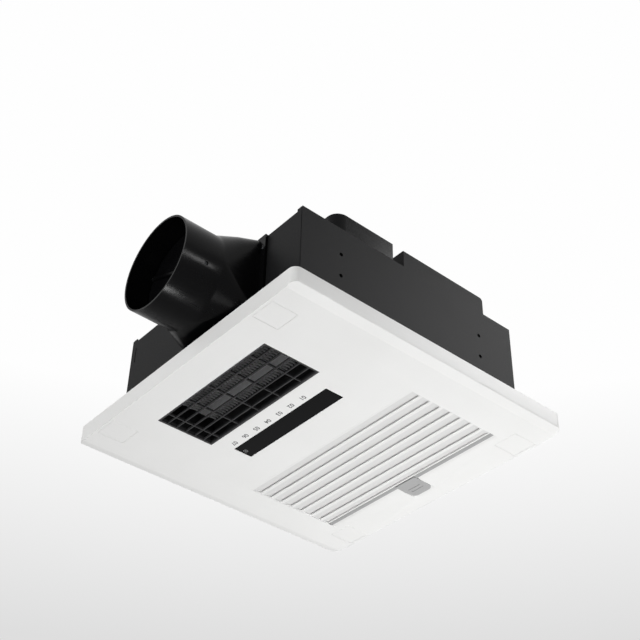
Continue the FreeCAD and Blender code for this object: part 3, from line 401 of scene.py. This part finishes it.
def row_tree():
    """One shape repeated along a straight step."""
    known = bpy.data.node_groups.get("row_of_copies")
    if known:
        return known
    tree, given = new_tree("row_of_copies", (
        ("Shape", "NodeSocketGeometry"), ("Count", "NodeSocketInt"), ("Step", "NodeSocketVector"),
        ("Finish", "NodeSocketMaterial")))
    line = add(tree, "GeometryNodeMeshLine", {"mode": "OFFSET"},
               {"Count": given.outputs["Count"], "Offset": given.outputs["Step"]})
    copies = add(tree, "GeometryNodeInstanceOnPoints", (),
                 {"Points": line.outputs["Mesh"], "Instance": given.outputs["Shape"]})
    return end_tree(tree, given, copies)


def spot_tree():
    """One shape on each spot, its Z axis turned to the spot's own direction."""
    known = bpy.data.node_groups.get("copies_on_spots")
    if known:
        return known
    tree, given = new_tree("copies_on_spots", (
        ("Spots", "NodeSocketGeometry"), ("Shape", "NodeSocketObject"), ("Finish", "NodeSocketMaterial")))
    shape = add(tree, "GeometryNodeObjectInfo", (), {"Object": given.outputs["Shape"]})
    outward = add(tree, "GeometryNodeInputNamedAttribute", {"data_type": "FLOAT_VECTOR", "Name": "outward"})
    turn = add(tree, "FunctionNodeAlignRotationToVector", {"axis": "Z"},
               {"Vector": outward.outputs["Attribute"]})
    copies = add(tree, "GeometryNodeInstanceOnPoints", (),
                 {"Points": given.outputs["Spots"], "Instance": shape.outputs["Geometry"],
                  "Rotation": turn.outputs["Rotation"]})
    return end_tree(tree, given, copies)


def grown(thing, tree, values):
    """The object after a tree has worked on it, as a plain mesh."""
    nodes = thing.modifiers.new("copies", "NODES")
    nodes.node_group = tree
    for item in tree.interface.items_tree:
        if item.item_type == "SOCKET" and item.name in values:
            nodes[item.identifier] = values[item.name]
    return applied(thing)


def row_of(thing, count, step, material):
    return grown(thing, row_tree(), {"Count": count, "Step": step, "Finish": material})


def on_spots(name, shape, spots, material):
    """Copies of a shape on spots, each given as a place and a direction outwards."""
    mesh = bpy.data.meshes.new(name)
    mesh.from_pydata([place for place, _ in spots], [], [])
    outward = mesh.attributes.new("outward", "FLOAT_VECTOR", "POINT")
    for row, (_, direction) in zip(outward.data, spots):
        row.vector = direction
    thing = grown(new_object(name, mesh), spot_tree(), {"Shape": shape, "Finish": material})
    bpy.data.objects.remove(shape)
    left = thing.data.attributes.get("outward")
    if left:
        thing.data.attributes.remove(left)
    return thing


def cross_head(name, outline, slot_half, slot_depth, top):
    """A turned screw with a cross recess in its head."""
    work = bmesh.new()
    lathe(work, outline, TURNED)
    thing = closed(name, work)
    cutters = []
    wide, narrow = slot_half, slot_half / 4
    for half_x, half_y in ((wide, narrow), (narrow, wide)):
        work = bmesh.new()
        slab(work, (-half_x, -half_y, top - slot_depth), (half_x, half_y, top + slot_depth))
        cutters.append(closed("cutter", work))
        cut = thing.modifiers.new("recess", "BOOLEAN")
        cut.operation = "DIFFERENCE"
        cut.solver = "EXACT"
        cut.object = cutters[-1]
    thing = applied(thing)
    for cutter in cutters:
        bpy.data.objects.remove(cutter)
    shade(thing.data, MADE_DEG)
    return thing


def corner_spots(node, inset, x, direction):
    """Four spots at the corners of a node's box, drawn in by the head's radius."""
    low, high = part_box(node)
    return [((x, y, z), direction) for y in (low.y + inset, high.y - inset)
            for z in (low.z + inset, high.z - inset)]


# Sizes and colours that a user would change

def colour(name, description, code):
    return bpy.props.FloatVectorProperty(name=name, description=description, subtype="COLOR",
                                         default=linear(code), min=0, max=1)


def length(name, description, millimetres):
    return bpy.props.FloatProperty(name=name, description=description, default=millimetres * MM,
                                   unit="LENGTH", precision=4)


class HeaterColours(bpy.types.PropertyGroup):
    """Colours of the visible pieces"""
    panel: colour("Panel", "Moulded white panel", "#EBEBEA")
    # The grid's colour is the guard's nylon painted lighter, as painted light on the bars and bezel
    grid: colour("Outlet grid", "Bezel and bars of the outlet", "#2E2E2F")
    guard: colour("Outlet inside", "Vanes, sleeve and heater frame", "#1C1C1D")
    window: colour("Display strip", "Polished strip", "#0B0B0C")
    filter: colour("Filter", "Filter frame and pull tab", "#A9A9A9")
    housing: colour("Housing", "Powder-coated steel", "#111112")
    duct: colour("Duct", "Moulded duct adapter", "#060607")


class HeaterSizes(bpy.types.PropertyGroup):
    """Sizes of the repeated and fine work"""
    moulded_edge: length("Moulded edge", "Rounding of moulded edges", 0.25)
    box_edge: length("Box edge", "Rounding of the boxes on top", 0.6)
    slope_run: length("Slope run", "Width of the panel's sloped edges", 11.0)
    first_band: length("First band", "Width of the first slat", 12.0)
    slat_pitch: length("Slat pitch", "Distance between slats", 13.8)
    slat_edge: length("Slat edge", "Flat front of a slat", 2.5)
    slat_rise: length("Slat rise", "How far a slat slopes up", 2.3)
    slat_thickness: length("Slat thickness", "Wall of a slat", 1.5)
    slat_lap: length("Slat lap", "How far a slat reaches behind the next", 1.2)
    bar_width: length("Bar width", "Width of the outlet's bars", 1.1)
    bar_height: length("Bar height", "Height of the outlet's bars", 2.6)
    fin_pitch: length("Fin pitch", "Distance between the heater's folds", 4.0)
    fin_thickness: length("Fin thickness", "Sheet of the heater's fins", 0.6)
    thread_pitch: length("Thread pitch", "Distance between the net's threads", 2.6)
    thread: length("Thread", "Thickness of the net's threads", 0.35)
    numeral_height: length("Numeral height", "Printed numerals beside the strip", 5.0)
    numeral_pitch: length("Numeral pitch", "Distance between numerals", 17.6)


# Operators, one for each piece or group of like pieces

class HEATER_OT_panel(bpy.types.Operator):
    """White panel, its corner covers and hidden screws"""
    bl_idname = "heater.panel"
    bl_label = "Panel"

    def execute(self, context):
        tight_slopes(dressed("front_panel"), context.scene.heater_sizes.slope_run)
        dressed("corner_covers")
        panel_screws(finishes()["steel"])
        return {"FINISHED"}


def tight_slopes(thing, run):
    """Narrows the sloped Y edges to a crisp band; the rim and the face stay."""
    near = 0.01 * MM
    mesh = thing.data
    work = bmesh.new()
    work.from_mesh(mesh)
    flat_y = max(abs(v.co.y) for v in work.verts if v.co.z < FACE_Z + near)
    crease_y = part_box("front_panel")[1].y - run
    for side in (-1, 1):
        outer = [f for f in work.faces if f.normal.z < 0 and side * f.calc_center_median().y > flat_y]
        slope = max(outer, key=lambda f: f.calc_area() * -f.normal.z)
        plane = slope.normal.copy()
        origin = slope.verts[0].co.copy()
        parts = [slope] + list(slope.edges) + list(slope.verts)
        bmesh.ops.bisect_plane(work, geom=parts, plane_co=(0, side * crease_y, 0), plane_no=(0, 1, 0))
        for vert in work.verts:
            on_slope = abs((vert.co - origin).dot(plane)) < near
            if on_slope and flat_y < side * vert.co.y < crease_y + near:
                vert.co.z = FACE_Z
    work.to_mesh(mesh)
    work.free()
    shade(mesh, COPY_DEG)
    for edge in mesh.edges:
        ends = [mesh.vertices[i].co for i in edge.vertices]
        if all(abs(abs(co.y) - crease_y) < near and co.z < FACE_Z + near for co in ends):
            edge.use_edge_sharp = True


def panel_screws(material):
    """Four self-tapping screws that hold the panel up, heads down behind the corner covers."""
    low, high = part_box("panel_screws")
    tall = high.z - low.z
    head, stem, thread = 3.9 * MM, 1.55 * MM, 2.0 * MM
    head_h, point, pitch = 2.4 * MM, 4.0 * MM, 1.4 * MM
    crown, crest, recess, recess_depth = 0.8, 0.3, 0.55, 1.2 * MM
    outline = [(0, tall), (head * crown, tall), (head, tall - head_h), (stem, tall - head_h)]
    z = tall - head_h - pitch
    while z > point:
        outline += [(stem, z + pitch * crest), (thread, z), (stem, z - pitch * crest)]
        z -= pitch
    outline += [(stem, point), (0, 0)]
    shape = cross_head("panel_screw", outline, head * recess, recess_depth, tall)
    spots = [((x, y, high.z), (0, 0, -1)) for x in (low.x + head, high.x - head)
             for y in (low.y + head, high.y - head)]
    thing = on_spots("panel_screw_set", shape, spots, material)
    return seat(thing, ROOT, "steel", material, "panel_screws")


class HEATER_OT_outlet(bpy.types.Operator):
    """Warm air outlet: guard, vanes, sleeve and heating element"""
    bl_idname = "heater.outlet"
    bl_label = "Outlet"

    def execute(self, context):
        sizes = context.scene.heater_sizes
        looks = finishes()
        # The guard's finish is a lighter copy of the inner nylon, as painted light
        outlet_guard(sizes, looks["guard_front"])
        # The fins' finish carries painted shade, darker deeper between the folds
        heater_fins(sizes, looks["fin_sheet"])
        dressed("heater_bars")
        for node in VANES + ["vane_link", "outlet_sleeve"]:
            dressed(node)
        paint(looks["guard_black"], "heater_frame")
        dressed("thermal_cutout")
        dressed("swing_motor")
        return {"FINISHED"}


def outlet_guard(sizes, material):
    """The bezel with its retaining lip, and a grid of bars in two directions."""
    low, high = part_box("outlet_guard")
    lip, bezel, lip_h, sunk = 3.0 * MM, 2.2 * MM, 1.6 * MM, 0.4 * MM
    first, last, count = 23.8 * MM, 15.4 * MM, 5
    x0, x1, y0, y1 = low.x + lip, high.x - lip, low.y + lip, high.y - lip
    work = bmesh.new()
    ring(work, (x0, y0, low.z), (x1, y1, high.z - lip_h), bezel)
    bezel_ring = soft_edges(closed("bezel", work), sizes.moulded_edge)
    work = bmesh.new()
    ring(work, (low.x, low.y, high.z - lip_h), (high.x, high.y, high.z), bezel + lip)
    lip_ring = closed("lip", work)
    z0 = low.z + sunk
    half, into = sizes.bar_width / 2, bezel / 2
    pitch = (x1 - x0) / (count + 1)
    work = bmesh.new()
    slab(work, (x0 + pitch - half, y0 + into, z0), (x0 + pitch + half, y1 - into, z0 + sizes.bar_height))
    one = soft_edges(closed("long_bars", work), sizes.moulded_edge)
    long_bars = row_of(one, count, (pitch, 0, 0), material)
    pitch = (y1 - y0 - first - last) / (count - 1)
    y = y0 + first
    work = bmesh.new()
    slab(work, (x0 + into, y - half, z0), (x1 - into, y + half, z0 + sizes.bar_height))
    one = soft_edges(closed("cross_bars", work), sizes.moulded_edge)
    cross_bars = row_of(one, count, (0, pitch, 0), material)
    thing = merged("outlet_grid", [bezel_ring, lip_ring, long_bars, cross_bars])
    return seat(thing, ROOT, "guard_black", material, "outlet_guard")


def heater_fins(sizes, material):
    """Folded aluminium fins, one fold repeated along each strip between the heater's bars."""
    low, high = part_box("heater_fins")
    # Of six strips side by side, the heater's plain bars take the other two
    strip_count, places = 6, (0, 2, 3, 5)
    wide = (high.x - low.x) / strip_count
    waves = int((high.y - low.y) / sizes.fin_pitch)
    pitch = (high.y - low.y) / waves
    half, smooth_deg = sizes.fin_thickness / 2, 60.0
    # One fold as shares of the strip's width and of the pitch
    fold = [(0.0, 0.0), (0.06, 0.12), (0.5, 0.35), (0.94, 0.42), (1.0, 0.5), (0.94, 0.58), (0.5, 0.65),
            (0.06, 0.88), (0.0, 1.0)]
    strips = []
    for place in places:
        work = bmesh.new()
        x0 = low.x + wide * place
        rows = []
        for z in (low.z, high.z):
            for side in (-1, 1):
                row = []
                for across, along in fold:
                    x = x0 + half + (wide - 2 * half) * across + side * half
                    row.append(work.verts.new((x, low.y + pitch * along, z)))
                rows.append(row)
        for a, b in ((0, 1), (1, 3), (3, 2), (2, 0)):
            for k in range(len(fold) - 1):
                work.faces.new((rows[a][k], rows[a][k + 1], rows[b][k + 1], rows[b][k]))
        strips.append(row_of(closed("fins", work, smooth_deg), waves, (0, pitch, 0), material))
    thing = merged("folded_fins", strips)
    work = bmesh.new()
    work.from_mesh(thing.data)
    bmesh.ops.remove_doubles(work, verts=work.verts, dist=JOIN)
    bmesh.ops.holes_fill(work, edges=[e for e in work.edges if e.is_boundary], sides=4)
    bmesh.ops.recalc_face_normals(work, faces=work.faces)
    work.to_mesh(thing.data)
    work.free()
    return seat(thing, ROOT, "aluminium", material, "heater_fins")


class HEATER_OT_display(bpy.types.Operator):
    """Polished display strip with plain printed numerals beside it"""
    bl_idname = "heater.display"
    bl_label = "Display strip"

    def execute(self, context):
        sizes = context.scene.heater_sizes
        dressed("display_window", sizes.moulded_edge)
        looks = finishes()
        paint(looks["circuit_green"], "display_board")
        numerals(sizes, looks["print"])
        receiver_mark(looks["pale_print"])
        return {"FINISHED"}


def numerals(sizes, ink):
    """Plain numbers in ink, one for each lamp behind the strip."""
    low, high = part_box("display_window")
    count, lip, away, shift = 7, 3 * MM, 8.6 * MM, 9 * MM
    ink_depth, ink_spread, cap_share = 0.01 * MM, 0.12 * MM, 0.7
    made = []
    for index in range(count):
        text = bpy.data.curves.new("numeral", "FONT")
        text.body = "%02d" % (index + 1)
        text.size = sizes.numeral_height / cap_share
        text.align_x = "CENTER"
        text.extrude = ink_depth
        text.offset = ink_spread
        holder = new_object("numeral", text)
        bpy.context.view_layer.update()
        graph = bpy.context.evaluated_depsgraph_get()
        mesh = bpy.data.meshes.new_from_object(holder.evaluated_get(graph))
        bpy.data.objects.remove(holder)
        across = (low.y + high.y) / 2 + shift + (index - (count - 1) / 2) * sizes.numeral_pitch
        along = low.x + lip - away
        turn = Matrix(((0, 1, 0, along), (1, 0, 0, across), (0, 0, -1, FACE_Z), (0, 0, 0, 1)))
        mesh.transform(turn)
        made.append(new_object("numeral", mesh))
    return seat(merged("strip_numerals", made), ROOT, "window_black", ink)


def receiver_mark(ink):
    """A small ring and dot over the infrared eye behind the strip."""
    low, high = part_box("display_window")
    thick, sides, from_end = 0.01 * MM, 24, 8 * MM
    inner, outer, dot = 1.9 * MM, 2.4 * MM, 0.8 * MM
    place = Matrix.Translation(((low.x + high.x) / 2, high.y - from_end, FACE_Z - thick))
    work = bmesh.new()
    lathe(work, [(inner, 0), (inner, thick), (outer, thick), (outer, 0), (inner, 0)], sides)
    lathe(work, [(0, 0), (dot, 0), (dot, thick), (0, thick)], sides)
    bmesh.ops.remove_doubles(work, verts=work.verts, dist=thick / 20)
    work.transform(place)
    return seat(closed("receiver_mark", work), ROOT, "window_black", ink)


class HEATER_OT_intake(bpy.types.Operator):
    """Intake louvres, filter and its guide"""
    bl_idname = "heater.intake"
    bl_label = "Intake"

    def execute(self, context):
        sizes = context.scene.heater_sizes
        looks = finishes()
        # The slats' finish carries painted shade, darker with height above the face
        intake_louvre(sizes, looks["slat_white"])
        dressed("filter_frame")
        filter_net(sizes, looks["net_grey"])
        paint(looks["panel_white"], "filter_guide")
        return {"FINISHED"}


def filter_slope():
    """The filter's slope down towards its pull tab, from the joint that it slides on."""
    joints = {joint["name"]: joint for joint in frame["record"]["behaviour"]["joints"]}
    axis = joints["filter_slide"]["axis"]
    return math.atan2(-axis[2], axis[0])


def under_track(outline, front, slope):
    """The part of an outline that stays clear below the sloping filter."""
    def room(spot):
        return FACE_Z + (front - spot[0]) * math.tan(slope) - SPARE / math.cos(slope) - spot[1]
    kept = []
    for k, spot in enumerate(outline):
        after = outline[(k + 1) % len(outline)]
        here, there = room(spot), room(after)
        if here >= 0:
            kept.append(spot)
        if here * there < 0:
            share = here / (here - there)
            kept.append(tuple(a + (b - a) * share for a, b in zip(spot, after)))
    return kept


def slat_outline(sizes, start, end, flat):
    """The section of one slat: a flat front edge, then a blade sloping up behind the next one."""
    thick, rise = sizes.slat_thickness, sizes.slat_rise
    return [(start, FACE_Z), (start + flat, FACE_Z), (end, FACE_Z + rise), (end, FACE_Z + rise + thick),
            (start + flat / 2, FACE_Z + thick + sizes.slat_edge / 4), (start, FACE_Z + thick)]


def intake_louvre(sizes, material):
    """White slats that lap over each other, on two spines and two side strips."""
    low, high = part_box("intake_louvre")
    slope = filter_slope()
    end_bar, bar_in = 1.4 * MM, 6.5 * MM
    front = high.x - end_bar + bar_in
    strip, spine_h, spine_share = 1.6 * MM, 2.6 * MM, 0.68
    count, slat_round, end_round = 6, 0.35 * MM, 0.3 * MM
    first = low.x + sizes.first_band
    last = first + (count + 1) * sizes.slat_pitch
    lap, edge = sizes.slat_lap, sizes.slat_edge
    work = bmesh.new()
    prism(work, slat_outline(sizes, first, first + sizes.slat_pitch + lap, edge), low.y, high.y)
    one = soft_edges(closed("slats", work), slat_round, segments=3)
    slats = row_of(one, count, (sizes.slat_pitch, 0, 0), material)
    work = bmesh.new()
    prism(work, slat_outline(sizes, low.x, first + lap, edge / 2), low.y, high.y)
    ending = slat_outline(sizes, last - sizes.slat_pitch, last - lap, edge)
    prism(work, under_track(ending, front, slope), low.y, high.y)
    bar = [(high.x - end_bar, FACE_Z), (high.x, FACE_Z), (high.x, high.z), (high.x - end_bar, high.z)]
    prism(work, under_track(bar, front, slope), low.y, high.y)
    ends = soft_edges(closed("end_slats", work), end_round)
    work = bmesh.new()
    z0, z1 = FACE_Z + sizes.slat_rise, FACE_Z + sizes.slat_rise + spine_h
    spine = under_track([(low.x, z0), (last, z0), (last, z1), (low.x, z1)], front, slope)
    for side in (-1, 1):
        y = side * high.y * spine_share
        prism(work, spine, y - strip / 2, y + strip / 2)
    z0 = FACE_Z + sizes.slat_thickness / 4
    cheek = under_track([(low.x, z0), (high.x, z0), (high.x, z1), (low.x, z1)], front, slope)
    prism(work, cheek, low.y, low.y + strip)
    prism(work, cheek, high.y - strip, high.y)
    thing = merged("louvre_slats", [slats, ends, closed("spines", work)])
    return seat(thing, ROOT, "panel_white", material, "intake_louvre")


def filter_net(sizes, material):
    """Nylon threads in two layers across the filter's frame."""
    low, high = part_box("filter_net")
    slope = filter_slope()
    thick = 2 * sizes.thread
    run = (high.x - low.x - thick * math.sin(slope)) / math.cos(slope)
    half_x, half_y = run / 2 - SPARE, (high.y - low.y) / 2 - SPARE
    layers = []
    for along_x in (True, False):
        reach = half_y if along_x else half_x
        count = int(2 * reach / sizes.thread_pitch)
        step = 2 * reach / count
        z = 0 if along_x else -sizes.thread
        side_0 = -reach + step / 2 - sizes.thread / 2
        side_1 = -reach + step / 2 + sizes.thread / 2
        work = bmesh.new()
        if along_x:
            slab(work, (-half_x, side_0, z), (half_x, side_1, z + sizes.thread))
        else:
            slab(work, (side_0, -half_y, z), (side_1, half_y, z + sizes.thread))
        way = (0, step, 0) if along_x else (step, 0, 0)
        layers.append(row_of(closed("threads", work), count, way, material))
    thing = merged("net_threads", layers)
    thing.data.transform(Matrix.Translation((low + high) / 2) @ Matrix.Rotation(slope, 4, "Y"))
    return seat(thing, "filter", "net_grey", material, "filter_net")


class HEATER_OT_housing(bpy.types.Operator):
    """Steel housing and the boxes on top of it"""
    bl_idname = "heater.housing"
    bl_label = "Housing"

    def execute(self, context):
        sizes = context.scene.heater_sizes
        looks = finishes()
        dressed("housing_shell")
        dressed("top_plate")
        wall_rivets(looks["housing_black"])
        top_screws(looks["dark_steel"])
        dressed("wiring_box", sizes.box_edge, look="duct_black")
        dressed("control_box", sizes.box_edge)
        dressed("cable_gland")
        gland_ribs(looks["inner_black"])
        paint(looks["panel_white"], "terminal_block")
        paint(looks["circuit_green"], "control_board")
        return {"FINISHED"}


def wall_rivets(material):
    """Domed rivets that join the top plate to the walls."""
    low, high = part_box("wall_rivets")
    radius, height = 2.4 * MM, 1.2 * MM
    dome = ((0, 1), (0.5, 0.88), (0.85, 0.5), (1, 0), (0, 0))
    work = bmesh.new()
    lathe(work, [(radius * r, height * z) for r, z in dome], TURNED)
    z = (low.z + high.z) / 2
    y0, y1 = low.y + radius, high.y - radius
    x0, x1 = low.x + height, high.x - height
    spots = [((x1, y0, z), (1, 0, 0)), ((x1, y1, z), (1, 0, 0)), ((x0, y1, z), (-1, 0, 0))]
    thing = on_spots("rivet_set", closed("rivet", work), spots, material)
    return seat(thing, ROOT, "housing_black", material, "wall_rivets")


def top_screws(material):
    """Small screws that hold the top plate and the lid of the control box."""
    plate_low, plate_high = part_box("top_plate")
    box_low, box_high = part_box("control_box")
    radius, height = 3.0 * MM, 1.6 * MM
    dome = ((0, 1), (0.5, 0.97), (0.85, 0.7), (1, 0.2), (1, 0), (0, 0))
    recess, recess_depth = radius * 0.55, height * 0.6
    outline = [(radius * r, height * z) for r, z in dome]
    shape = cross_head("top_screw", outline, recess, recess_depth, height)
    inset, z = 12 * MM, plate_high.z
    x0, x1, y1 = plate_low.x + inset, plate_high.x - inset, plate_high.y - inset
    middle_x, middle_y = (x0 + x1) / 2, (plate_low.y + plate_high.y) / 2
    spots = [(x0, y1, z), (middle_x, y1, z), (x1, y1, z), (x1, middle_y, z), (x0, middle_y + inset * 3, z)]
    rise = box_high.z - height
    spots += [(x, y, rise) for x in (box_low.x + inset / 2, box_high.x - inset)
              for y in (box_low.y + inset, box_high.y - inset / 2)]
    thing = on_spots("top_screw_set", shape, [(spot, (0, 0, 1)) for spot in spots], material)
    return seat(thing, ROOT, "steel", material)


def gland_ribs(material):
    """Grip ribs round the nut of the cable gland."""
    low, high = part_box("cable_gland")
    centre_x, centre_z = (low.x + high.x) / 2, (low.z + high.z) / 2
    radius, nut, count = (high.x - low.x) / 2, 5.0 * MM, 18
    wall = 2.0 * MM
    half, tall = 0.6 * MM, 0.5 * MM
    work = bmesh.new()
    prism(work, [(-half, -tall), (half, -tall), (half * 0.5, tall), (-half * 0.5, tall)], 0, nut)
    spots = []
    for k in range(count):
        angle = 2 * math.pi * k / count
        outward = (math.cos(angle), 0, math.sin(angle))
        place = (centre_x + radius * outward[0], low.y + wall, centre_z + radius * outward[2])
        spots.append((place, outward))
    thing = on_spots("gland_rib_set", closed("gland_rib", work), spots, material)
    return seat(thing, ROOT, "inner_black", material)


class HEATER_OT_duct(bpy.types.Operator):
    """Duct adapter, its screws and the back draught damper"""
    bl_idname = "heater.duct"
    bl_label = "Duct"

    def execute(self, context):
        dressed("duct_adapter")
        dressed("damper_flap")
        dressed("damper_axle", look="dark_steel")
        adapter_screws(finishes()["dark_steel"])
        return {"FINISHED"}


def adapter_screws(material):
    """Four cross-head screws through the adapter's flange."""
    low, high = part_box("adapter_screws")
    head, stem, head_h = 2.4 * MM, 1.6 * MM, 1.4 * MM
    tall = high.x - low.x
    recess, recess_depth = head * 0.5, head_h * 0.6
    dome = ((0, 0), (0.6, 0), (0.9, 0.4), (1, 1))
    outline = [(head * r, tall - head_h * drop) for r, drop in dome]
    outline += [(stem, tall - head_h), (stem, 0), (0, 0)]
    shape = cross_head("adapter_screw", outline, recess, recess_depth, tall)
    spots = corner_spots("adapter_screws", head, high.x, (-1, 0, 0))
    thing = on_spots("adapter_screw_set", shape, spots, material)
    return seat(thing, ROOT, "steel", material, "adapter_screws")


class HEATER_OT_inside(bpy.types.Operator):
    """Fan, motor, scroll, air guide and changeover flap"""
    bl_idname = "heater.inside"
    bl_label = "Inside"

    def execute(self, context):
        looks = finishes()
        paint(looks["inner_black"], "air_guide", "fan_scroll", "inlet_ring", "fan_wheel", "changeover_flap")
        paint(looks["motor_steel"], "fan_motor", "changeover_motor")
        paint(looks["steel"], "motor_bracket", "motor_screws", "fan_shaft", "changeover_axle")
        return {"FINISHED"}


class HEATER_OT_stage(bpy.types.Operator):
    """Pale floor, soft lights, white surroundings and the camera"""
    bl_idname = "heater.stage"
    bl_label = "Stage"

    def execute(self, context):
        make_camera()
        make_floor()
        make_lights()
        make_world()
        context.scene.view_settings.view_transform = "Standard"
        return {"FINISHED"}


def make_camera():
    """The eye, from a fit to the panel's edges: its angles in degrees, its place in metres."""
    azimuth, elevation, roll = (math.radians(a) for a in (50.281, 38.591, 1.378))
    place = Vector((-0.6614, -0.7967, -0.6957))
    sensor_mm, lens_mm = 36, 70.14
    forward = Vector((math.cos(elevation) * math.cos(azimuth), math.cos(elevation) * math.sin(azimuth),
                      math.sin(elevation)))
    level = Vector((math.sin(azimuth), -math.cos(azimuth), 0))
    upward = level.cross(forward)
    right = math.cos(roll) * level + math.sin(roll) * upward
    top = math.cos(roll) * upward - math.sin(roll) * level
    data = bpy.data.cameras.new("camera")
    data.sensor_width = sensor_mm
    data.lens = lens_mm
    thing = bpy.data.objects.new("camera", data)
    bpy.context.scene.collection.objects.link(thing)
    turn = Matrix((right, top, -forward)).transposed()
    thing.matrix_world = Matrix.Translation(place) @ turn.to_4x4()
    bpy.context.scene.camera = thing


def seen_directly(tree):
    """1 where the eye meets a surface straight on, in a mirror image or through glass."""
    ray = add(tree, "ShaderNodeLightPath")
    shiny = add(tree, "ShaderNodeMath", {"operation": "MAXIMUM"},
                {0: ray.outputs["Is Glossy Ray"], 1: ray.outputs["Is Transmission Ray"]})
    direct = add(tree, "ShaderNodeMath", {"operation": "MAXIMUM"},
                 {0: ray.outputs["Is Camera Ray"], 1: shiny.outputs["Value"]})
    return direct.outputs["Value"]


def make_floor():
    """A wide pale floor well under the camera, partly of its own light where it is seen."""
    half_side, height, own_light, tone = 6, -2.4, 0.75, linear("#EDEDED") + [1]
    mesh = bpy.data.meshes.new("floor")
    work = bmesh.new()
    bmesh.ops.create_grid(work, x_segments=1, y_segments=1, size=half_side)
    work.to_mesh(mesh)
    work.free()
    mesh.transform(Matrix.Translation((0, 0, height)))
    material = bpy.data.materials.new("matt_pale_floor")
    material.use_nodes = True
    tree = material.node_tree
    tree.nodes.clear()
    coat = add(tree, "ShaderNodeBsdfPrincipled", {"Base Color": tone, "Roughness": 0.9})
    plain = add(tree, "ShaderNodeEmission", {"Color": tone, "Strength": 1.0})
    direct = add(tree, "ShaderNodeMath", {"operation": "MULTIPLY", 1: own_light}, {0: seen_directly(tree)})
    both = add(tree, "ShaderNodeMixShader", (),
               {0: direct.outputs["Value"], 1: coat.outputs["BSDF"], 2: plain.outputs["Emission"]})
    add(tree, "ShaderNodeOutputMaterial", (), {"Surface": both.outputs["Shader"]})
    mesh.materials.append(material)
    new_object("floor", mesh)


def make_lights():
    """Soft lamps all round, none seen directly and two of them not in mirror images either."""
    # Name, place and side in metres, power in watts, whether shiny faces mirror it
    rows = (
        ("front", (-1.42, -1.5, -1.65), 1.0, 8, True),
        ("under", (0.26, -0.22, -1.02), 0.16, 4.8, True),
        ("far", (0.58, 0.08, -0.62), 0.3, 2.0, False),
        ("side", (0.4, -1.43, 0.18), 0.22, 3.0, True),
        ("left", (-1.5, -0.1, -0.2), 0.6, 11, True),
        ("shine", (1.05, -0.9, 0.9), 0.6, 9, True),
        ("top", (0.2, 0.3, 2.4), 1.4, 30, False),
    )
    for name, place, side, watts, mirrored in rows:
        data = bpy.data.lights.new(name, "AREA")
        data.shape = "SQUARE"
        data.size = side
        data.energy = watts
        thing = bpy.data.objects.new(name, data)
        bpy.context.scene.collection.objects.link(thing)
        thing.location = place
        thing.rotation_euler = (-Vector(place)).to_track_quat("-Z", "Y").to_euler()
        thing.visible_camera = False
        thing.visible_glossy = mirrored


def make_world():
    """White all round as seen, fading to pale grey towards the horizon; a softer grey as light."""
    horizon, sky, white = (linear(code) + [1] for code in ("#DEDEDE", "#FEFEFE", "#FFFFFF"))
    fade_start, fade_end, light_strength = 0.40, 0.575, 0.2
    world = bpy.data.worlds.new("studio")
    bpy.context.scene.world = world
    world.use_nodes = True
    tree = world.node_tree
    tree.nodes.clear()
    place = add(tree, "ShaderNodeTexCoord")
    split = add(tree, "ShaderNodeSeparateXYZ", (), {0: place.outputs["Generated"]})
    rise = add(tree, "ShaderNodeMapRange", {"From Min": fade_start, "From Max": fade_end},
               {"Value": split.outputs["Z"]})
    tone = add(tree, "ShaderNodeMix", {"data_type": "RGBA", 6: horizon, 7: sky},
               {0: rise.outputs["Result"]})
    seen = add(tree, "ShaderNodeBackground", {"Strength": 1.0}, {"Color": tone.outputs[2]})
    light = add(tree, "ShaderNodeBackground", {"Color": white, "Strength": light_strength})
    mix = add(tree, "ShaderNodeMixShader", (),
              {0: seen_directly(tree), 1: light.outputs["Background"], 2: seen.outputs["Background"]})
    add(tree, "ShaderNodeOutputWorld", (), {"Surface": mix.outputs["Shader"]})


OPERATORS = (HEATER_OT_panel, HEATER_OT_outlet, HEATER_OT_display, HEATER_OT_intake, HEATER_OT_housing,
             HEATER_OT_duct, HEATER_OT_inside, HEATER_OT_stage)


class HEATER_PT_sidebar(bpy.types.Panel):
    """Lists the heater's pieces"""
    bl_idname = "HEATER_PT_sidebar"
    bl_label = "Heater"
    bl_space_type = "VIEW_3D"
    bl_region_type = "UI"
    bl_category = "Heater"

    def draw(self, context):
        for kind in OPERATORS:
            self.layout.operator(kind.bl_idname)
        for group in (context.scene.heater_sizes, context.scene.heater_colours):
            for name in group.__annotations__:
                self.layout.prop(group, name)


CLASSES = (HeaterColours, HeaterSizes) + OPERATORS + (HEATER_PT_sidebar,)


def register():
    for kind in CLASSES:
        bpy.utils.register_class(kind)
    bpy.types.Scene.heater_colours = bpy.props.PointerProperty(type=HeaterColours)
    bpy.types.Scene.heater_sizes = bpy.props.PointerProperty(type=HeaterSizes)


def unregister():
    del bpy.types.Scene.heater_sizes
    del bpy.types.Scene.heater_colours
    for kind in reversed(CLASSES):
        bpy.utils.unregister_class(kind)


def main():
    register()
    for kind in OPERATORS:
        group, name = kind.bl_idname.split(".")
        getattr(getattr(bpy.ops, group), name)()


if __name__ == "__main__":
    main()
